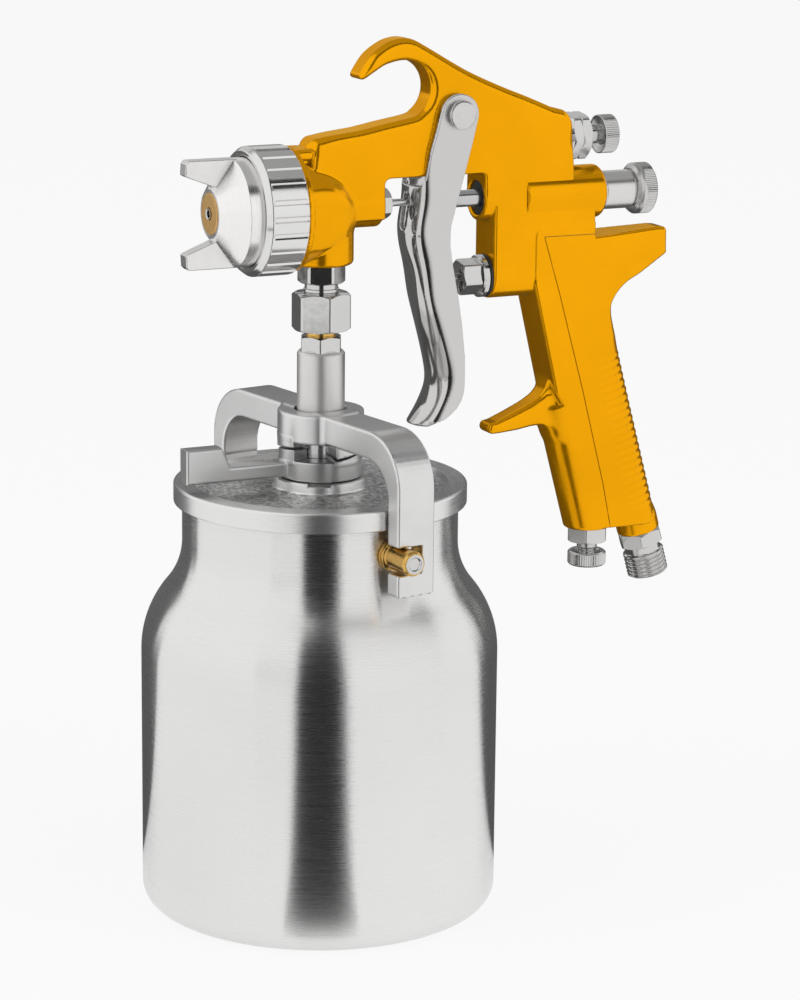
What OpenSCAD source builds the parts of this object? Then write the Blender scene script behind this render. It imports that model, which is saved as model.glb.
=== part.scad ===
// Suction-feed air spray gun that stands on a one-litre paint cup.
// Millimetres. The origin is the centre of the cup's base, +Z runs up the siphon stem,
// and the spray leaves along -X. Gun parts are drawn about the spray axis and lifted to it.

/* [Cup] */
// Outside radius of the cup
cup_r = 55; // [50:0.5:60]
// Height of the cup from its base to its rim
cup_h = 129.8; // [120:0.1:150]
// Thickness of the cup's wall
cup_wall = 1.2; // [0.8:0.1:2]
// Thickness of the cup's base
cup_base_t = 1.6; // [1:0.1:3]
// Radius of the corner between base and wall
cup_corner_r = 5.8; // [3:0.1:9]
// Outside radius of the cup's neck
cup_neck_r = 42.3; // [39:0.1:45]
// Height of the neck's straight part
cup_neck_h = 13.8; // [13:0.1:20]
// Height of the curved shoulder between wall and neck
cup_shoulder_h = 35; // [25:0.5:40]
// Share of the shoulder's curve that bulges outwards
cup_bulge_share = 0.58; // [0.45:0.01:0.7]

/* [Cup studs] */
// Height of the studs above the shoulder
stud_rise = 3.8; // [3:0.1:6]
// Radius of a stud's bearing length
stud_r = 3.8; // [3:0.1:4.2]
// Radius of a stud's flange on the neck
stud_flange_r = 4.5; // [4.2:0.1:5]
// How far a stud's end stands out beyond the yoke's leg
stud_proud = 4.4; // [3:0.1:6]
// Direction of the near stud about the cup's axis
stud_azimuth = -84; // [-86:0.5:-82]

/* [Lid] */
// Thickness of the gasket between cup and lid
gasket_t = 1.2; // [0.8:0.1:2]
// Thickness of the lid's plate
lid_plate_t = 1.4; // [1:0.1:3]
// Rise of the rim above the sunk floor
lid_rim_rise = 1.7; // [1:0.1:3]
// Width of the flat rim
lid_rim_w = 6; // [4:0.1:9]
// Height of the skirt round the rim
lid_skirt_h = 6.3; // [5.5:0.1:8]
// Thickness of the skirt
lid_skirt_t = 2; // [1.5:0.1:3]
// Radius of the raised boss under the clamp lever
lid_boss_r = 14.1; // [13:0.1:16]
// Rise of the boss above the sunk floor
lid_boss_rise = 3.2; // [2.5:0.1:5]
// Width of the vent notch in the boss
vent_w = 7; // [4:0.1:9]

/* [Clamp lever] */
// Radius of the lever's cam collar
collar_r = 12.8; // [11.5:0.1:13.5]
// Height of the collar below its ramps
collar_h = 6.4; // [5.8:0.1:9]
// Rise of the two cam ramps
ramp_rise = 3.2; // [2:0.1:4]
// Reach of the lever from the stem's axis
lever_reach = 45; // [38:0.5:48]
// Width of the lever's arm
lever_w = 6; // [4:0.1:8]
// Height of the lever's arm
lever_arm_h = 4.5; // [3.5:0.1:5.5]
// Height of the thumb block at the lever's end
lever_block_h = 10.7; // [8:0.1:14]
// Length of the thumb block
lever_block_l = 11.6; // [8:0.1:15]

/* [Yoke] */
// Direction of the near leg about the stem's axis
yoke_azimuth = -80.5; // [-82:0.5:-79.5]
// Width of the yoke's bar
yoke_w = 13; // [11.5:0.1:15]
// Thickness of the yoke's legs
yoke_leg_t = 6; // [5:0.1:7.5]
// Height of the yoke's cross bar
yoke_bar_h = 8.6; // [7:0.1:9]
// Outside radius of the yoke's bends
yoke_bend_r = 16; // [11:0.1:18]
// Radius of the yoke's hub
hub_r = 13.2; // [12:0.1:15]
// Height of the hub above its cam
hub_h = 9; // [8.7:0.1:12]
// Length of leg below the stud's centre
leg_below_stud = 11; // [9:0.1:14]

/* [Siphon stem] */
// Radius of the stem's shank
shank_r = 6.2; // [5.4:0.1:6.6]
// Length of the spacer sleeve above the yoke
sleeve_l = 17.7; // [12:0.1:25]
// Outside radius of the spacer sleeve
sleeve_r = 7.5; // [7:0.1:8.5]
// Width across flats of the stem's hexagon
stem_hex_af = 13; // [12:0.1:16]
// Height of the stem's hexagon
stem_hex_h = 4.6; // [3:0.1:7]
// Outside radius of the siphon tube
tube_r = 4.5; // [4:0.1:4.8]
// Bore radius of the siphon tube
tube_bore_r = 3.3; // [2.5:0.1:3.6]
// Gap between the siphon tube's end and the cup's floor
tube_foot_gap = 6; // [4:0.1:12]
// Width across flats of the locknut under the lid
locknut_af = 18; // [16:0.1:22]
// Height of the locknut under the lid
locknut_h = 5; // [3:0.1:7]

/* [Fluid inlet] */
// Outside radius of the brass cone seat that shows under the union nut
cone_r = 4.7; // [4.4:0.05:4.9]
// Length of the cone seat that shows under the union nut
cone_show = 1.8; // [1:0.1:4]
// Width across flats of the union nut
union_af = 17; // [15:0.1:19]
// Height of the union nut
union_h = 11.4; // [10.5:0.1:15]
// Radius of the inlet fitting's neck
inlet_neck_r = 5.45; // [5.3:0.05:5.8]
// Length of neck that shows above the union nut
inlet_neck_show = 3.1; // [1:0.1:6]
// Width across flats of the inlet fitting's hexagon
inlet_hex_af = 14; // [13:0.1:17]
// Height of the inlet fitting's hexagon
inlet_hex_h = 5.6; // [3:0.1:7]
// Bore radius of the fluid way
fluid_bore_r = 3.2; // [2.5:0.1:3.3]

/* [Gun body] */
// Half thickness of the plate at the top of the hook
plate_top_half = 4.9; // [4.5:0.1:5.4]
// Half thickness of the plate above the trigger slot
plate_low_half = 6.6; // [6:0.1:6.8]
// Half thickness of the rear block and the handle
block_half = 7; // [6.6:0.1:7.6]
// Radius of the fluid boss under the head
fluid_boss_r = 9.7; // [8.5:0.1:11]
// Drop from the spray axis to the fluid boss's end
fluid_boss_drop = 17.2; // [16:0.1:22]
// Inside radius of the hanging hook
hook_in_r = 8.8; // [7:0.1:9.5]
// Thickness of the hanging hook
hook_t = 6.2; // [4.5:0.1:6.5]
// Rear face of the upper plate
plate_rear_x = 82.4; // [81:0.1:84]
// Radius of the boss round the fluid control
rear_boss_r = 8.3; // [7.4:0.1:9]
// Rear end of that boss
rear_boss_x = 93.5; // [91:0.1:96]
// Lean of the handle's tubes from upright
handle_lean = 15.3; // [14:0.1:16.5]
// Radius of the handle's front tube
front_tube_r = 7.1; // [6.8:0.1:7.6]
// Radius of the handle's rear tube
rear_tube_r = 6.7; // [6.4:0.1:7.4]

/* [Head] */
// Radius of the flange behind the air cap ring
head_flange_r = 18.6; // [17.5:0.1:19.4]
// Front face of that flange
head_flange_x = -12; // [-13:0.1:-11]
// Radius of the threaded nose
nose_r = 15.95; // [15:0.05:16.2]
// Length of the threaded nose
nose_l = 8; // [7:0.1:10]
// Outside radius of the air cap ring
ring_r = 19.5; // [19.2:0.1:22]
// Number of grooves round the ring
ring_grooves = 24; // [12:1:36]
// Width of a groove
ring_groove_w = 1.45; // [0.8:0.05:2]
// Depth of a groove
ring_groove_d = 0.5; // [0.2:0.05:0.8]
// Thickness of the ring's front lip
ring_lip_t = 1.6; // [1:0.1:2.5]
// Radius of the air cap in front of the ring
cap_r = 16.3; // [15.4:0.1:16.6]
// Length of the cap's straight part in front of the ring
cap_straight = 4; // [2:0.1:5]
// Length of the cap's cone
cap_cone_l = 6.6; // [5:0.1:9]
// Radius of the brass centre of the cap
centre_r = 6.2; // [5.5:0.1:6.6]
// Width of an air horn
horn_w = 5.2; // [4:0.1:7]
// Reach of the horns in front of the cap's centre
horn_reach = 8; // [5:0.1:11]
// Bore radius of the fluid nozzle
nozzle_bore_r = 1.15; // [1.1:0.01:1.3]

/* [Trigger] */
// Distance of the trigger's pivot behind the stem's axis
pivot_x = 42; // [41:0.1:43]
// Height of the pivot above the spray axis
pivot_up = 26.9; // [26:0.1:28]
// Radius of the pivot pin
pivot_r = 2.5; // [2:0.05:3]
// Radius of the pivot pin's head
pivot_head_r = 4.4; // [4:0.1:5.4]
// Thickness of the trigger's sheet
trigger_sheet = 1.5; // [1:0.1:1.8]
// Radius of the trigger's eye round the pivot
trigger_eye_r = 6.1; // [5.5:0.1:7]

/* [Fluid control] */
// Radius of the fluid needle
needle_r = 1.05; // [0.8:0.01:1.08]
// Radius of the needle's carrier rod
carrier_r = 2.6; // [2:0.05:3]
// Bore radius for the carrier and its spring
carrier_bore_r = 5.2; // [5.1:0.05:5.6]
// Width across flats of the packing nut
packing_af = 9; // [8:0.1:11]
// Radius of the sleeve in front of the fluid knob
control_sleeve_r = 6; // [5.8:0.05:7]
// Length of that sleeve behind the boss
control_sleeve_l = 11.6; // [8:0.1:15]
// Radius of the fluid knob
fluid_knob_r = 8; // [7:0.1:10]
// Length of the fluid knob
fluid_knob_l = 5.8; // [4:0.1:9]

/* [Fan control] */
// Height of the fan control above the spray axis
fan_up = 17.6; // [17:0.1:18.2]
// Width across flats of the fan control's bushing
fan_af = 13; // [11:0.1:13.5]
// Length of the bushing's hexagon
fan_hex_l = 6; // [4:0.1:8]
// Radius of the fan control's stem
fan_stem_r = 2.9; // [2.2:0.05:3.3]
// Length of stem that shows
fan_stem_show = 5; // [3:0.1:8]
// Radius of the fan knob
fan_knob_r = 6; // [5:0.1:7]
// Length of the fan knob
fan_knob_l = 5.2; // [4:0.1:8]

/* [Air valve] */
// Drop from the spray axis to the air valve's axis
valve_drop = 24.3; // [23.5:0.1:25]
// Radius of the valve's boss on the body
valve_boss_r = 6.9; // [6.2:0.1:7.1]
// Width across flats of the valve's nut
valve_af = 10; // [8:0.1:10.5]
// Length of the valve nut's hexagon
valve_hex_l = 6.2; // [5:0.1:6.8]
// Radius of the valve nut's flange
valve_flange_r = 6.6; // [6:0.1:6.8]
// Thickness of the valve nut's flange
valve_flange_t = 2.2; // [1.5:0.1:2.6]
// Radius of the valve's rod
valve_rod_r = 1.3; // [1:0.05:1.5]
// Bore radius of the valve's chamber
valve_bore_r = 4.75; // [4.5:0.05:5.1]

/* [Handle fittings] */
// Distance of the air regulator behind the stem's axis
regulator_x = 93.1; // [92:0.1:94]
// Width across flats of the regulator's bushing
regulator_af = 12; // [11:0.1:13]
// Height of the bushing's hexagon
regulator_hex_h = 4.6; // [3:0.1:6]
// Radius of the regulator's stem
regulator_stem_r = 3.2; // [2.5:0.05:3.6]
// Length of stem that shows
regulator_stem_show = 3.2; // [2:0.1:5]
// Radius of the regulator's knob
regulator_knob_r = 6.1; // [5:0.1:7]
// Height of the regulator's knob
regulator_knob_h = 4.6; // [3:0.1:7]
// Radius of the air inlet's thread, a quarter-inch pipe thread
air_thread_r = 6.5785; // [6.4:0.0001:6.8]
// Length of the air inlet's thread
air_thread_l = 7.6; // [6:0.1:12]
// Width across flats of the air inlet's hexagon
air_hex_af = 13; // [12:0.1:15]
// Length of the air inlet's hexagon
air_hex_l = 4.6; // [3:0.1:7]
// Length of the relieved neck between hexagon and thread
air_neck_l = 2.6; // [1.5:0.1:5]
// Bore radius of the air way
air_bore_r = 3.8; // [3:0.1:4.2]

/* [Fits] */
// Radial clearance between a shaft and its hole
fit_gap = 0.05; // [0.03:0.01:0.08]
// Clearance between faces that turn on each other
turn_gap = 0.2; // [0.1:0.05:0.4]
// Gap between the cam ramps and the hub when clamped
cam_gap = 0.7; // [0.6:0.05:0.9]

/* [Hidden] */
$fn = 64;
eps = 0.01;
big = 400;

// Heights from the cup's base upwards
neck_z = cup_h - cup_neck_h;
shoulder_z = neck_z - cup_shoulder_h;
stud_z = neck_z + stud_rise;
lid_under_z = cup_h + gasket_t;
lid_floor_z = lid_under_z + lid_plate_t;
lid_rim_z = lid_floor_z + lid_rim_rise;
lid_boss_z = lid_floor_z + lid_boss_rise;
collar_z = lid_boss_z + turn_gap;
cam_z = collar_z + collar_h;
cam_step = 0.3;
hub_notch_gap = 2;
hub_z = cam_z + ramp_rise + hub_notch_gap;
hub_top_z = hub_z + hub_h;
sleeve_z = hub_top_z + turn_gap;
stem_hex_z = sleeve_z + sleeve_l;
stem_low_z = lid_under_z - locknut_h - 1;
tube_seat_l = 10;
tube_top_z = stem_low_z + tube_seat_l;
stem_top_z = stem_hex_z + stem_hex_h;
union_z = stem_top_z + cone_show;
union_floor = 3.3;
inlet_spigot_r = shank_r - 0.2;
inlet_spigot_l = 8.9;
inlet_bore_l = inlet_spigot_l + 0.1;
inlet_hex_z = union_z + union_h + inlet_neck_show;
inlet_top_z = inlet_hex_z + inlet_hex_h;
spray_z = inlet_top_z + fluid_boss_drop;

// Lid and yoke reach, from the neck outwards
lid_gap = 0.6;
skirt_in_r = cup_neck_r + lid_gap;
lid_r = skirt_in_r + lid_skirt_t;
leg_gap = 0.7;
leg_in = lid_r + leg_gap;
leg_out = leg_in + yoke_leg_t;
shank_bore_r = shank_r + fit_gap;

// Stations along the spray axis
nose_x = head_flange_x - nose_l;
cap_flange_t = 3.6;
lip_back_x = nose_x - cap_flange_t - 2 * turn_gap;
ring_front_x = lip_back_x - ring_lip_t;
ring_back_x = head_flange_x - turn_gap;
cap_flange_r = cap_r + 1.1;
cap_cone_x = ring_front_x - cap_straight;
cap_front_x = cap_cone_x - cap_cone_l;
cap_front_r = centre_r + 1.2;
cap_wall = 2;
cap_hollow_r = 13.8;
horn_tip_x = cap_front_x - horn_reach;
horn_tip_t = 4.7;
nozzle_tip_x = cap_front_x - 0.7;
nozzle_tip_r = nozzle_bore_r + 0.55;
nozzle_thread_r = 5;
nozzle_thread_l = 13;
nozzle_hex_r = 7.2;
nozzle_hex_l = 3.4;
nozzle_foot_r = 4.4;
nozzle_taper_l = 5;
baffle_t = 2;
baffle_r = 13.4;
fluid_way_end_x = 6;
needle_way_x = 5;
needle_way_gap = 0.6;
needle_tip_r = 0.4;
needle_tip_l = 4;
air_chamber_r = 8;
nose_wall = 2.5;
head_flange_t = 4;
slot_front_x = 18.2;
slot_rear_x = 51.6;
slot_top = 8.3;
block_front_x = 55;
packing_bore_r = 3.5;
packing_x = 9.8;
packing_l = 4;
packing_hex_l = 4.3;
guide_x = 58;
guide_l = 5;
carrier_flange_l = 2.5;
carrier_end_x = guide_x + guide_l + 1 + carrier_flange_l;
needle_end_x = 84;
control_thread_l = 9.5;
control_bore_r = carrier_bore_r - 0.75;
control_screw_x = rear_boss_x - 2.3;
knob_gap = 0.4;
rear_boss_start_x = 65.7;
fluid_knob_x = rear_boss_x + control_sleeve_l + knob_gap;

// Fan control stations
fan_thread_r = 4.5;
fan_thread_l = 10;
fan_way_r = 2;
fan_way_x = -8;
fan_hex_end_x = plate_rear_x + fan_hex_l;
fan_knob_x = fan_hex_end_x + fan_stem_show;

// Air valve stations
washer_t = 0.8;
valve_flange_x = block_front_x - washer_t - valve_flange_t;
valve_hex_x = valve_flange_x - valve_hex_l;
valve_hex_turn = 45;
valve_thread_l = 7;
valve_seat_l = 3;
valve_head_l = 3;
valve_head_x = block_front_x + valve_thread_l + valve_seat_l + fit_gap;
valve_end_x = 90;
valve_boss_end_x = 69;

// Handle: two leaning tubes joined by a slab, all measured from the spray axis
rear_tube_foot = [111.7, -110.4];
front_tube_foot = [93, -107.6];
lean = [-sin(handle_lean), cos(handle_lean)];
handle_top = -62;
air_way_l = 90;
air_way_cover = 10;
rear_tube_l = air_way_l - air_way_cover;
front_tube_low = -10;
front_tube_l = 46;
spigot_l = 9;
air_spigot_r = air_thread_r - 1;
regulator_spigot_r = regulator_stem_r + 1.7;
regulator_way_r = 2.2;
regulator_way_l = 9;

// Trigger outline from its pivot, [height, x]: front of the web and back of the cheeks
web_front = [[-95.4, -11.5], [-92.4, -8.5], [-88.4, -6.2], [-83.9, -5], [-77.9, -5.5], [-69.9, -7.2],
             [-53.9, -11], [-45.9, -12.6], [-39.9, -14], [-35.9, -14.2], [-28.9, -13], [-21.4, -10.7]];
cheek_back = [[-94.5, -6.2], [-93, -2.7], [-90.3, 0.4], [-86.9, 2.3], [-74, 2.5], [-56.7, 0.3],
              [-43.8, -2.3], [-36.7, -2.8], [-30.4, -1.7], [-17.3, 2], [-7.7, 4.5]];
cheek_front_up = [[-19.4, -11.2], [-11.8, -10.1], [-5, -7.9]];
cheek_gap = 0.4;
cheek_in = plate_low_half + cheek_gap;
cheek_out = cheek_in + trigger_sheet;
pin_head_t = 1;
web_push_gap = 0.4;
carrier_x = pivot_x + lookup(-pivot_up + carrier_r, web_front) + trigger_sheet + web_push_gap;
rod_x = pivot_x + lookup(-pivot_up - valve_drop - valve_rod_r, web_front) + trigger_sheet + web_push_gap;
needle_hole_r = 2.1;
needle_slot_up = 1.5;
needle_slot_down = 6.5;

// Points on an arc in a plane, from angle a to angle b
function arc(centre, r, a, b, steps = 8) =
    [for (i = [0 : steps]) centre + r * [cos(a + (b - a) * i / steps), sin(a + (b - a) * i / steps)]];
function flip(list) = [for (i = [len(list) - 1 : -1 : 0]) list[i]];
function swap(list, dx = 0) = [for (p = list) [p[1] + dx, p[0]]];

module at_spray() { translate([0, 0, spray_z]) children(); }
module shaft_x(x0, x1, r, up = 0) {
    translate([x0, 0, up]) rotate([0, 90, 0]) cylinder(h = x1 - x0, r = r);
}
module shaft_z(z0, z1, r) { translate([0, 0, z0]) cylinder(h = z1 - z0, r = r); }
module shaft_y(x, z, y0, y1, r) { translate([x, y1, z]) rotate([90, 0, 0]) cylinder(h = y1 - y0, r = r); }
// A side outline in X and Z, as thick as half each way in Y
module side_plate(points, half) {
    rotate([90, 0, 0]) linear_extrude(height = 2 * half, center = true) polygon(points);
}
// A solid of revolution about the X axis, from points [radius, x]
module turned_x(points, up = 0) {
    translate([0, 0, up]) rotate([0, 90, 0]) rotate_extrude() polygon(points);
}
// A hexagon bar along +Z with its corners turned off at the ends
module hex_bar(h, af, cut_low = true, cut_high = true) {
    corner_r = af / sqrt(3);
    flat_r = af / 2 * 1.02;
    cut = (corner_r - flat_r) * 0.55;
    intersection() {
        cylinder(h = h, r = corner_r, $fn = 6);
        rotate_extrude() polygon([[0, 0], [cut_low ? flat_r : corner_r + eps, 0], [corner_r + eps, cut],
            [corner_r + eps, h - cut], [cut_high ? flat_r : corner_r + eps, h], [0, h]]);
    }
}
// Places children with +Z along the handle's lean, at a foot point
module on_lean(foot) { translate([foot[0], 0, foot[1]]) rotate([0, -handle_lean, 0]) children(); }
// A round wire wound along +Z
module coil(r, wire_r, l, turns, steps = 16, sides = 6) {
    n = turns * steps;
    pitch = (l - 2 * wire_r) / n;
    points = [for (i = [0 : n]) for (j = [0 : sides - 1])
        let (a = 360 * i / steps, b = 360 * j / sides, q = r + wire_r * cos(b))
        [q * cos(a), q * sin(a), wire_r + pitch * i + wire_r * sin(b)]];
    walls = [for (i = [0 : n - 1]) for (j = [0 : sides - 1])
        let (k = (j + 1) % sides)
        [i * sides + j, (i + 1) * sides + j, (i + 1) * sides + k, i * sides + k]];
    caps = [[for (j = [0 : sides - 1]) j], [for (j = [sides - 1 : -1 : 0]) n * sides + j]];
    polyhedron(points, concat(walls, caps), convexity = 10);
}

// Gun body

hook_c = [25.4, 34.6];
hook_out_r = hook_in_r + hook_t;
neck_top = 21.4;
plate_outline = concat(
    [[head_flange_x + head_flange_t, 4], [head_flange_x + head_flange_t, neck_top],
        [3.5, neck_top + 0.6], [19, 24.4], hook_c],
    arc(hook_c, hook_out_r, 90, 60, 3),
    [[45.9, 39.6], [56.9, 34.7], [68.7, 30.2]],
    arc([plate_rear_x - 4.5, 21.7], 4.5, 65, 0, 4),
    [[plate_rear_x, -6], [slot_rear_x, -6], [slot_rear_x, slot_top], [slot_front_x, slot_top],
        [slot_front_x, 0], [0, 0]]);
hook_opening = [[hook_c[0], hook_c[1] - hook_in_r + eps], [19, 24.4], [3.5, neck_top + 0.6],
                [-big, neck_top], [-big, 37.9], [10.4, 37.9], [14.6, 39.7],
                [20.5, hook_c[1] + 7.4], hook_c];
block_outline = [[block_front_x, 6], [block_front_x, -valve_drop], [68.2, -valve_drop],
                 [77.1, handle_top - 0.8], [102, handle_top - 0.8], [96, -44], [95.4, -38.2],
                 [96.2, -34.2], [100.1, -29.2], [115.3, -20.5], [115.6, -13.2], [114.4, -12],
                 [90, -12.4], [90, 6]];
spur_outline = concat([[80, handle_top + 3], [74.3, -60.4], [72.6, -63.8], [64.2, -67.2]],
                      arc([57, -72.2], 1.6, 120, 250, 4), [[73.3, -72.4], [80, -74]]);
spur_half = 4.6;
slab_half = 6.4;
slab_l = 49;
slab_foot_gap = 3.4;
slab_top_x = 100;
draft_top = 52;
// The dome behind the head, [radius, x]
dome = concat([[0, head_flange_x + 3.6], [15.6, head_flange_x + 3.6]],
              [for (i = [0 : 6]) let (t = i / 6) [15.4 - 12.4 * pow(t, 1.6), -8 + 19.5 * t]],
              [[0, 11.5]]);

module body_mass() {
    intersection() {
        union() {
            difference() {
                union() {
                    side_plate(plate_outline, block_half);
                    shaft_y(hook_c[0], hook_c[1], -block_half, block_half, hook_out_r);
                }
                shaft_y(hook_c[0], hook_c[1], -big, big, hook_in_r);
                side_plate(hook_opening, big);
            }
            side_plate(block_outline, block_half);
        }
        // Draft of the casting: thin at the hook, full thickness from the trigger slot down
        rotate([90, 0, 90]) linear_extrude(height = big, center = true)
            polygon([[-plate_top_half, draft_top], [-plate_low_half, slot_top], [-block_half, 0],
                     [-block_half, -big], [block_half, -big], [block_half, 0],
                     [plate_low_half, slot_top], [plate_top_half, draft_top]]);
    }
    turned_x(dome);
    shaft_x(head_flange_x, head_flange_x + head_flange_t, head_flange_r);
    shaft_x(nose_x, head_flange_x + eps, nose_r);
    shaft_x(0, slot_front_x, plate_low_half);
    shaft_z(-fluid_boss_drop, 0, fluid_boss_r);
    shaft_x(slot_rear_x, block_front_x + 1, block_half);
    shaft_x(rear_boss_start_x, rear_boss_x, rear_boss_r);
    shaft_x(block_front_x, valve_boss_end_x, valve_boss_r, -valve_drop);
    shaft_y(pivot_x, pivot_up, -plate_low_half, plate_low_half, trigger_eye_r);
    side_plate(spur_outline, spur_half);
    on_lean(rear_tube_foot) shaft_z(0, rear_tube_l, rear_tube_r);
    intersection() {
        on_lean(front_tube_foot) shaft_z(front_tube_low, front_tube_l, front_tube_r);
        translate([0, 0, front_tube_foot[1] + big / 2]) cube(big, center = true);
    }
    side_plate([front_tube_foot, front_tube_foot + lean * slab_l, [slab_top_x, handle_top],
        rear_tube_foot + lean * slab_l, rear_tube_foot + lean * slab_foot_gap], slab_half);
}

module gun_body() {
    color("goldenrod") at_spray() difference() {
        body_mass();
        // Nozzle seat, fluid chamber, packing gland
        shaft_x(nose_x - 1, nose_x + nozzle_thread_l + 1, nozzle_thread_r + fit_gap);
        shaft_x(nose_x + nozzle_thread_l, fluid_way_end_x, fluid_bore_r);
        shaft_x(needle_way_x, packing_x + eps, needle_r + needle_way_gap);
        shaft_x(packing_x, slot_front_x + 1, packing_bore_r);
        shaft_z(-fluid_boss_drop - 1, -fluid_boss_drop + inlet_bore_l, inlet_spigot_r + fit_gap);
        shaft_z(-fluid_boss_drop + inlet_bore_l - 1, 0, fluid_bore_r);
        // Air chamber round the nozzle seat
        turned_x([[air_chamber_r, nose_x - 1], [nose_r - nose_wall, nose_x - 1],
            [nose_r - nose_wall, head_flange_x - 1], [air_chamber_r, head_flange_x - 1]]);
        // Fluid control, fan control and air valve
        shaft_x(slot_rear_x - 1, rear_boss_x + 1, carrier_bore_r);
        shaft_x(plate_rear_x - fan_thread_l, plate_rear_x + 1, fan_thread_r + fit_gap, fan_up);
        shaft_x(fan_way_x, plate_rear_x, fan_way_r, fan_up);
        shaft_x(block_front_x - 1, valve_end_x, valve_bore_r, -valve_drop);
        // Trigger pivot
        shaft_y(pivot_x, pivot_up, -big, big, pivot_r + fit_gap);
        // Air way up the handle, and the regulator
        on_lean(rear_tube_foot) shaft_z(-1, spigot_l, air_spigot_r + fit_gap);
        on_lean(rear_tube_foot) shaft_z(0, air_way_l, air_bore_r);
        translate([regulator_x, 0, front_tube_foot[1]]) {
            shaft_z(-1, spigot_l, regulator_spigot_r + fit_gap);
            shaft_z(0, spigot_l + regulator_way_l, regulator_way_r);
        }
    }
}

// Head

module air_cap_ring() {
    thread_r = nose_r + turn_gap;
    chamber_r = cap_flange_r + turn_gap;
    edge = 0.6;
    color("gainsboro") at_spray() difference() {
        turned_x([[thread_r, ring_back_x], [ring_r - edge, ring_back_x], [ring_r, ring_back_x - edge],
            [ring_r, ring_front_x + 1.6], [ring_r - 1.2, ring_front_x], [cap_r + turn_gap, ring_front_x],
            [cap_r + turn_gap, lip_back_x], [chamber_r, lip_back_x], [chamber_r, nose_x - turn_gap / 2],
            [thread_r, nose_x - turn_gap / 2]]);
        for (i = [0 : ring_grooves - 1])
            rotate([i * 360 / ring_grooves, 0, 0]) translate([ring_front_x + 2.2, -ring_groove_w / 2,
                ring_r - ring_groove_d])
                cube([ring_back_x - ring_front_x - 4.6, ring_groove_w, ring_groove_d + 1]);
    }
}

module air_cap() {
    flange_back = nose_x - turn_gap;
    horn = [[cap_cone_x + 0.5, cap_r - 5], [cap_cone_x + 0.5, cap_r - 0.05], [horn_tip_x, cap_r - 0.05],
            [horn_tip_x - 0.6, cap_r - horn_tip_t], [cap_front_x - 1, cap_front_r + 1.4],
                [cap_front_x + 2, cap_front_r]];
    color("silver") at_spray() {
        difference() {
            union() {
                turned_x([[0, flange_back], [cap_flange_r, flange_back], [cap_flange_r,
                    lip_back_x + turn_gap],
                    [cap_r, lip_back_x + turn_gap], [cap_r, cap_cone_x], [cap_front_r, cap_front_x],
                        [0, cap_front_x]]);
                for (turn = [0, 180]) rotate([turn, 0, 0]) side_plate(horn, horn_w / 2);
            }
            turned_x([[0, flange_back + 1], [cap_hollow_r, flange_back + 1], [cap_hollow_r,
                cap_cone_x + 1],
                [centre_r + fit_gap, cap_front_x + cap_wall + 1], [centre_r + fit_gap,
                    cap_front_x - 1], [0, cap_front_x - 1]]);
        }
    }
}

module air_cap_centre() {
    color("goldenrod") at_spray()
        turned_x([[nozzle_tip_r + 0.3, cap_front_x - 0.3], [centre_r, cap_front_x - 0.3], [centre_r,
            cap_front_x + cap_wall],
            [nozzle_tip_r + 0.3, cap_front_x + cap_wall]]);
}

module fluid_nozzle() {
    flange_x = nose_x - baffle_t;
    color("gray") at_spray()
        turned_x([[nozzle_bore_r, nozzle_tip_x], [nozzle_tip_r, nozzle_tip_x], [nozzle_tip_r,
            cap_front_x + cap_wall + 0.4],
            [nozzle_foot_r, flange_x - nozzle_hex_l], [nozzle_hex_r, flange_x - nozzle_hex_l],
            [nozzle_hex_r, flange_x], [nozzle_thread_r, flange_x],
            [nozzle_thread_r, nose_x + nozzle_thread_l], [fluid_bore_r, nose_x + nozzle_thread_l],
            [fluid_bore_r, flange_x], [nozzle_bore_r, cap_front_x + nozzle_taper_l]]);
}

module air_baffle() {
    color("dimgray") at_spray()
        turned_x([[nozzle_thread_r + fit_gap, nose_x - baffle_t], [baffle_r, nose_x - baffle_t],
            [baffle_r, nose_x],
            [nozzle_thread_r + fit_gap, nose_x]]);
}

// Fluid control

module fluid_needle() {
    tip_x = nozzle_tip_x + 0.6;
    color("lightgray") at_spray()
        turned_x([[0, tip_x], [needle_tip_r, tip_x], [needle_r, tip_x + needle_tip_l],
            [needle_r, needle_end_x], [0, needle_end_x]]);
}

module needle_carrier() {
    flange_x = carrier_end_x - carrier_flange_l;
    flange_r = carrier_bore_r - 0.6;
    color("lightgray") at_spray()
        turned_x([[needle_r + fit_gap, carrier_x], [carrier_r - 0.4, carrier_x], [carrier_r,
            carrier_x + 0.4],
            [carrier_r, flange_x], [flange_r, flange_x], [flange_r, carrier_end_x],
                [needle_r + fit_gap, carrier_end_x]]);
}

module needle_packing() {
    color("whitesmoke") at_spray()
        turned_x([[needle_r + fit_gap, packing_x], [packing_bore_r - fit_gap, packing_x],
            [packing_bore_r - fit_gap, packing_x + packing_l], [needle_r + fit_gap,
                packing_x + packing_l]]);
}

module packing_nut() {
    color("silver") at_spray() difference() {
        union() {
            shaft_x(packing_x + packing_l, slot_front_x + eps, packing_bore_r - fit_gap);
            translate([slot_front_x, 0, 0]) rotate([0, 90, 0]) hex_bar(packing_hex_l, packing_af,
                false, true);
        }
        shaft_x(0, slot_rear_x, needle_r + fit_gap);
    }
}

module needle_guide() {
    color("goldenrod") at_spray()
        turned_x([[carrier_r + fit_gap, guide_x], [carrier_bore_r - fit_gap, guide_x],
            [carrier_bore_r - fit_gap, guide_x + guide_l], [carrier_r + fit_gap, guide_x + guide_l]]);
}

module needle_spring() {
    wire_r = 0.45;
    color("darkgray") at_spray() translate([carrier_end_x, 0, 0]) rotate([0, 90, 0])
        coil(control_bore_r - wire_r - 0.3, wire_r, control_screw_x - carrier_end_x, 9);
}

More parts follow.
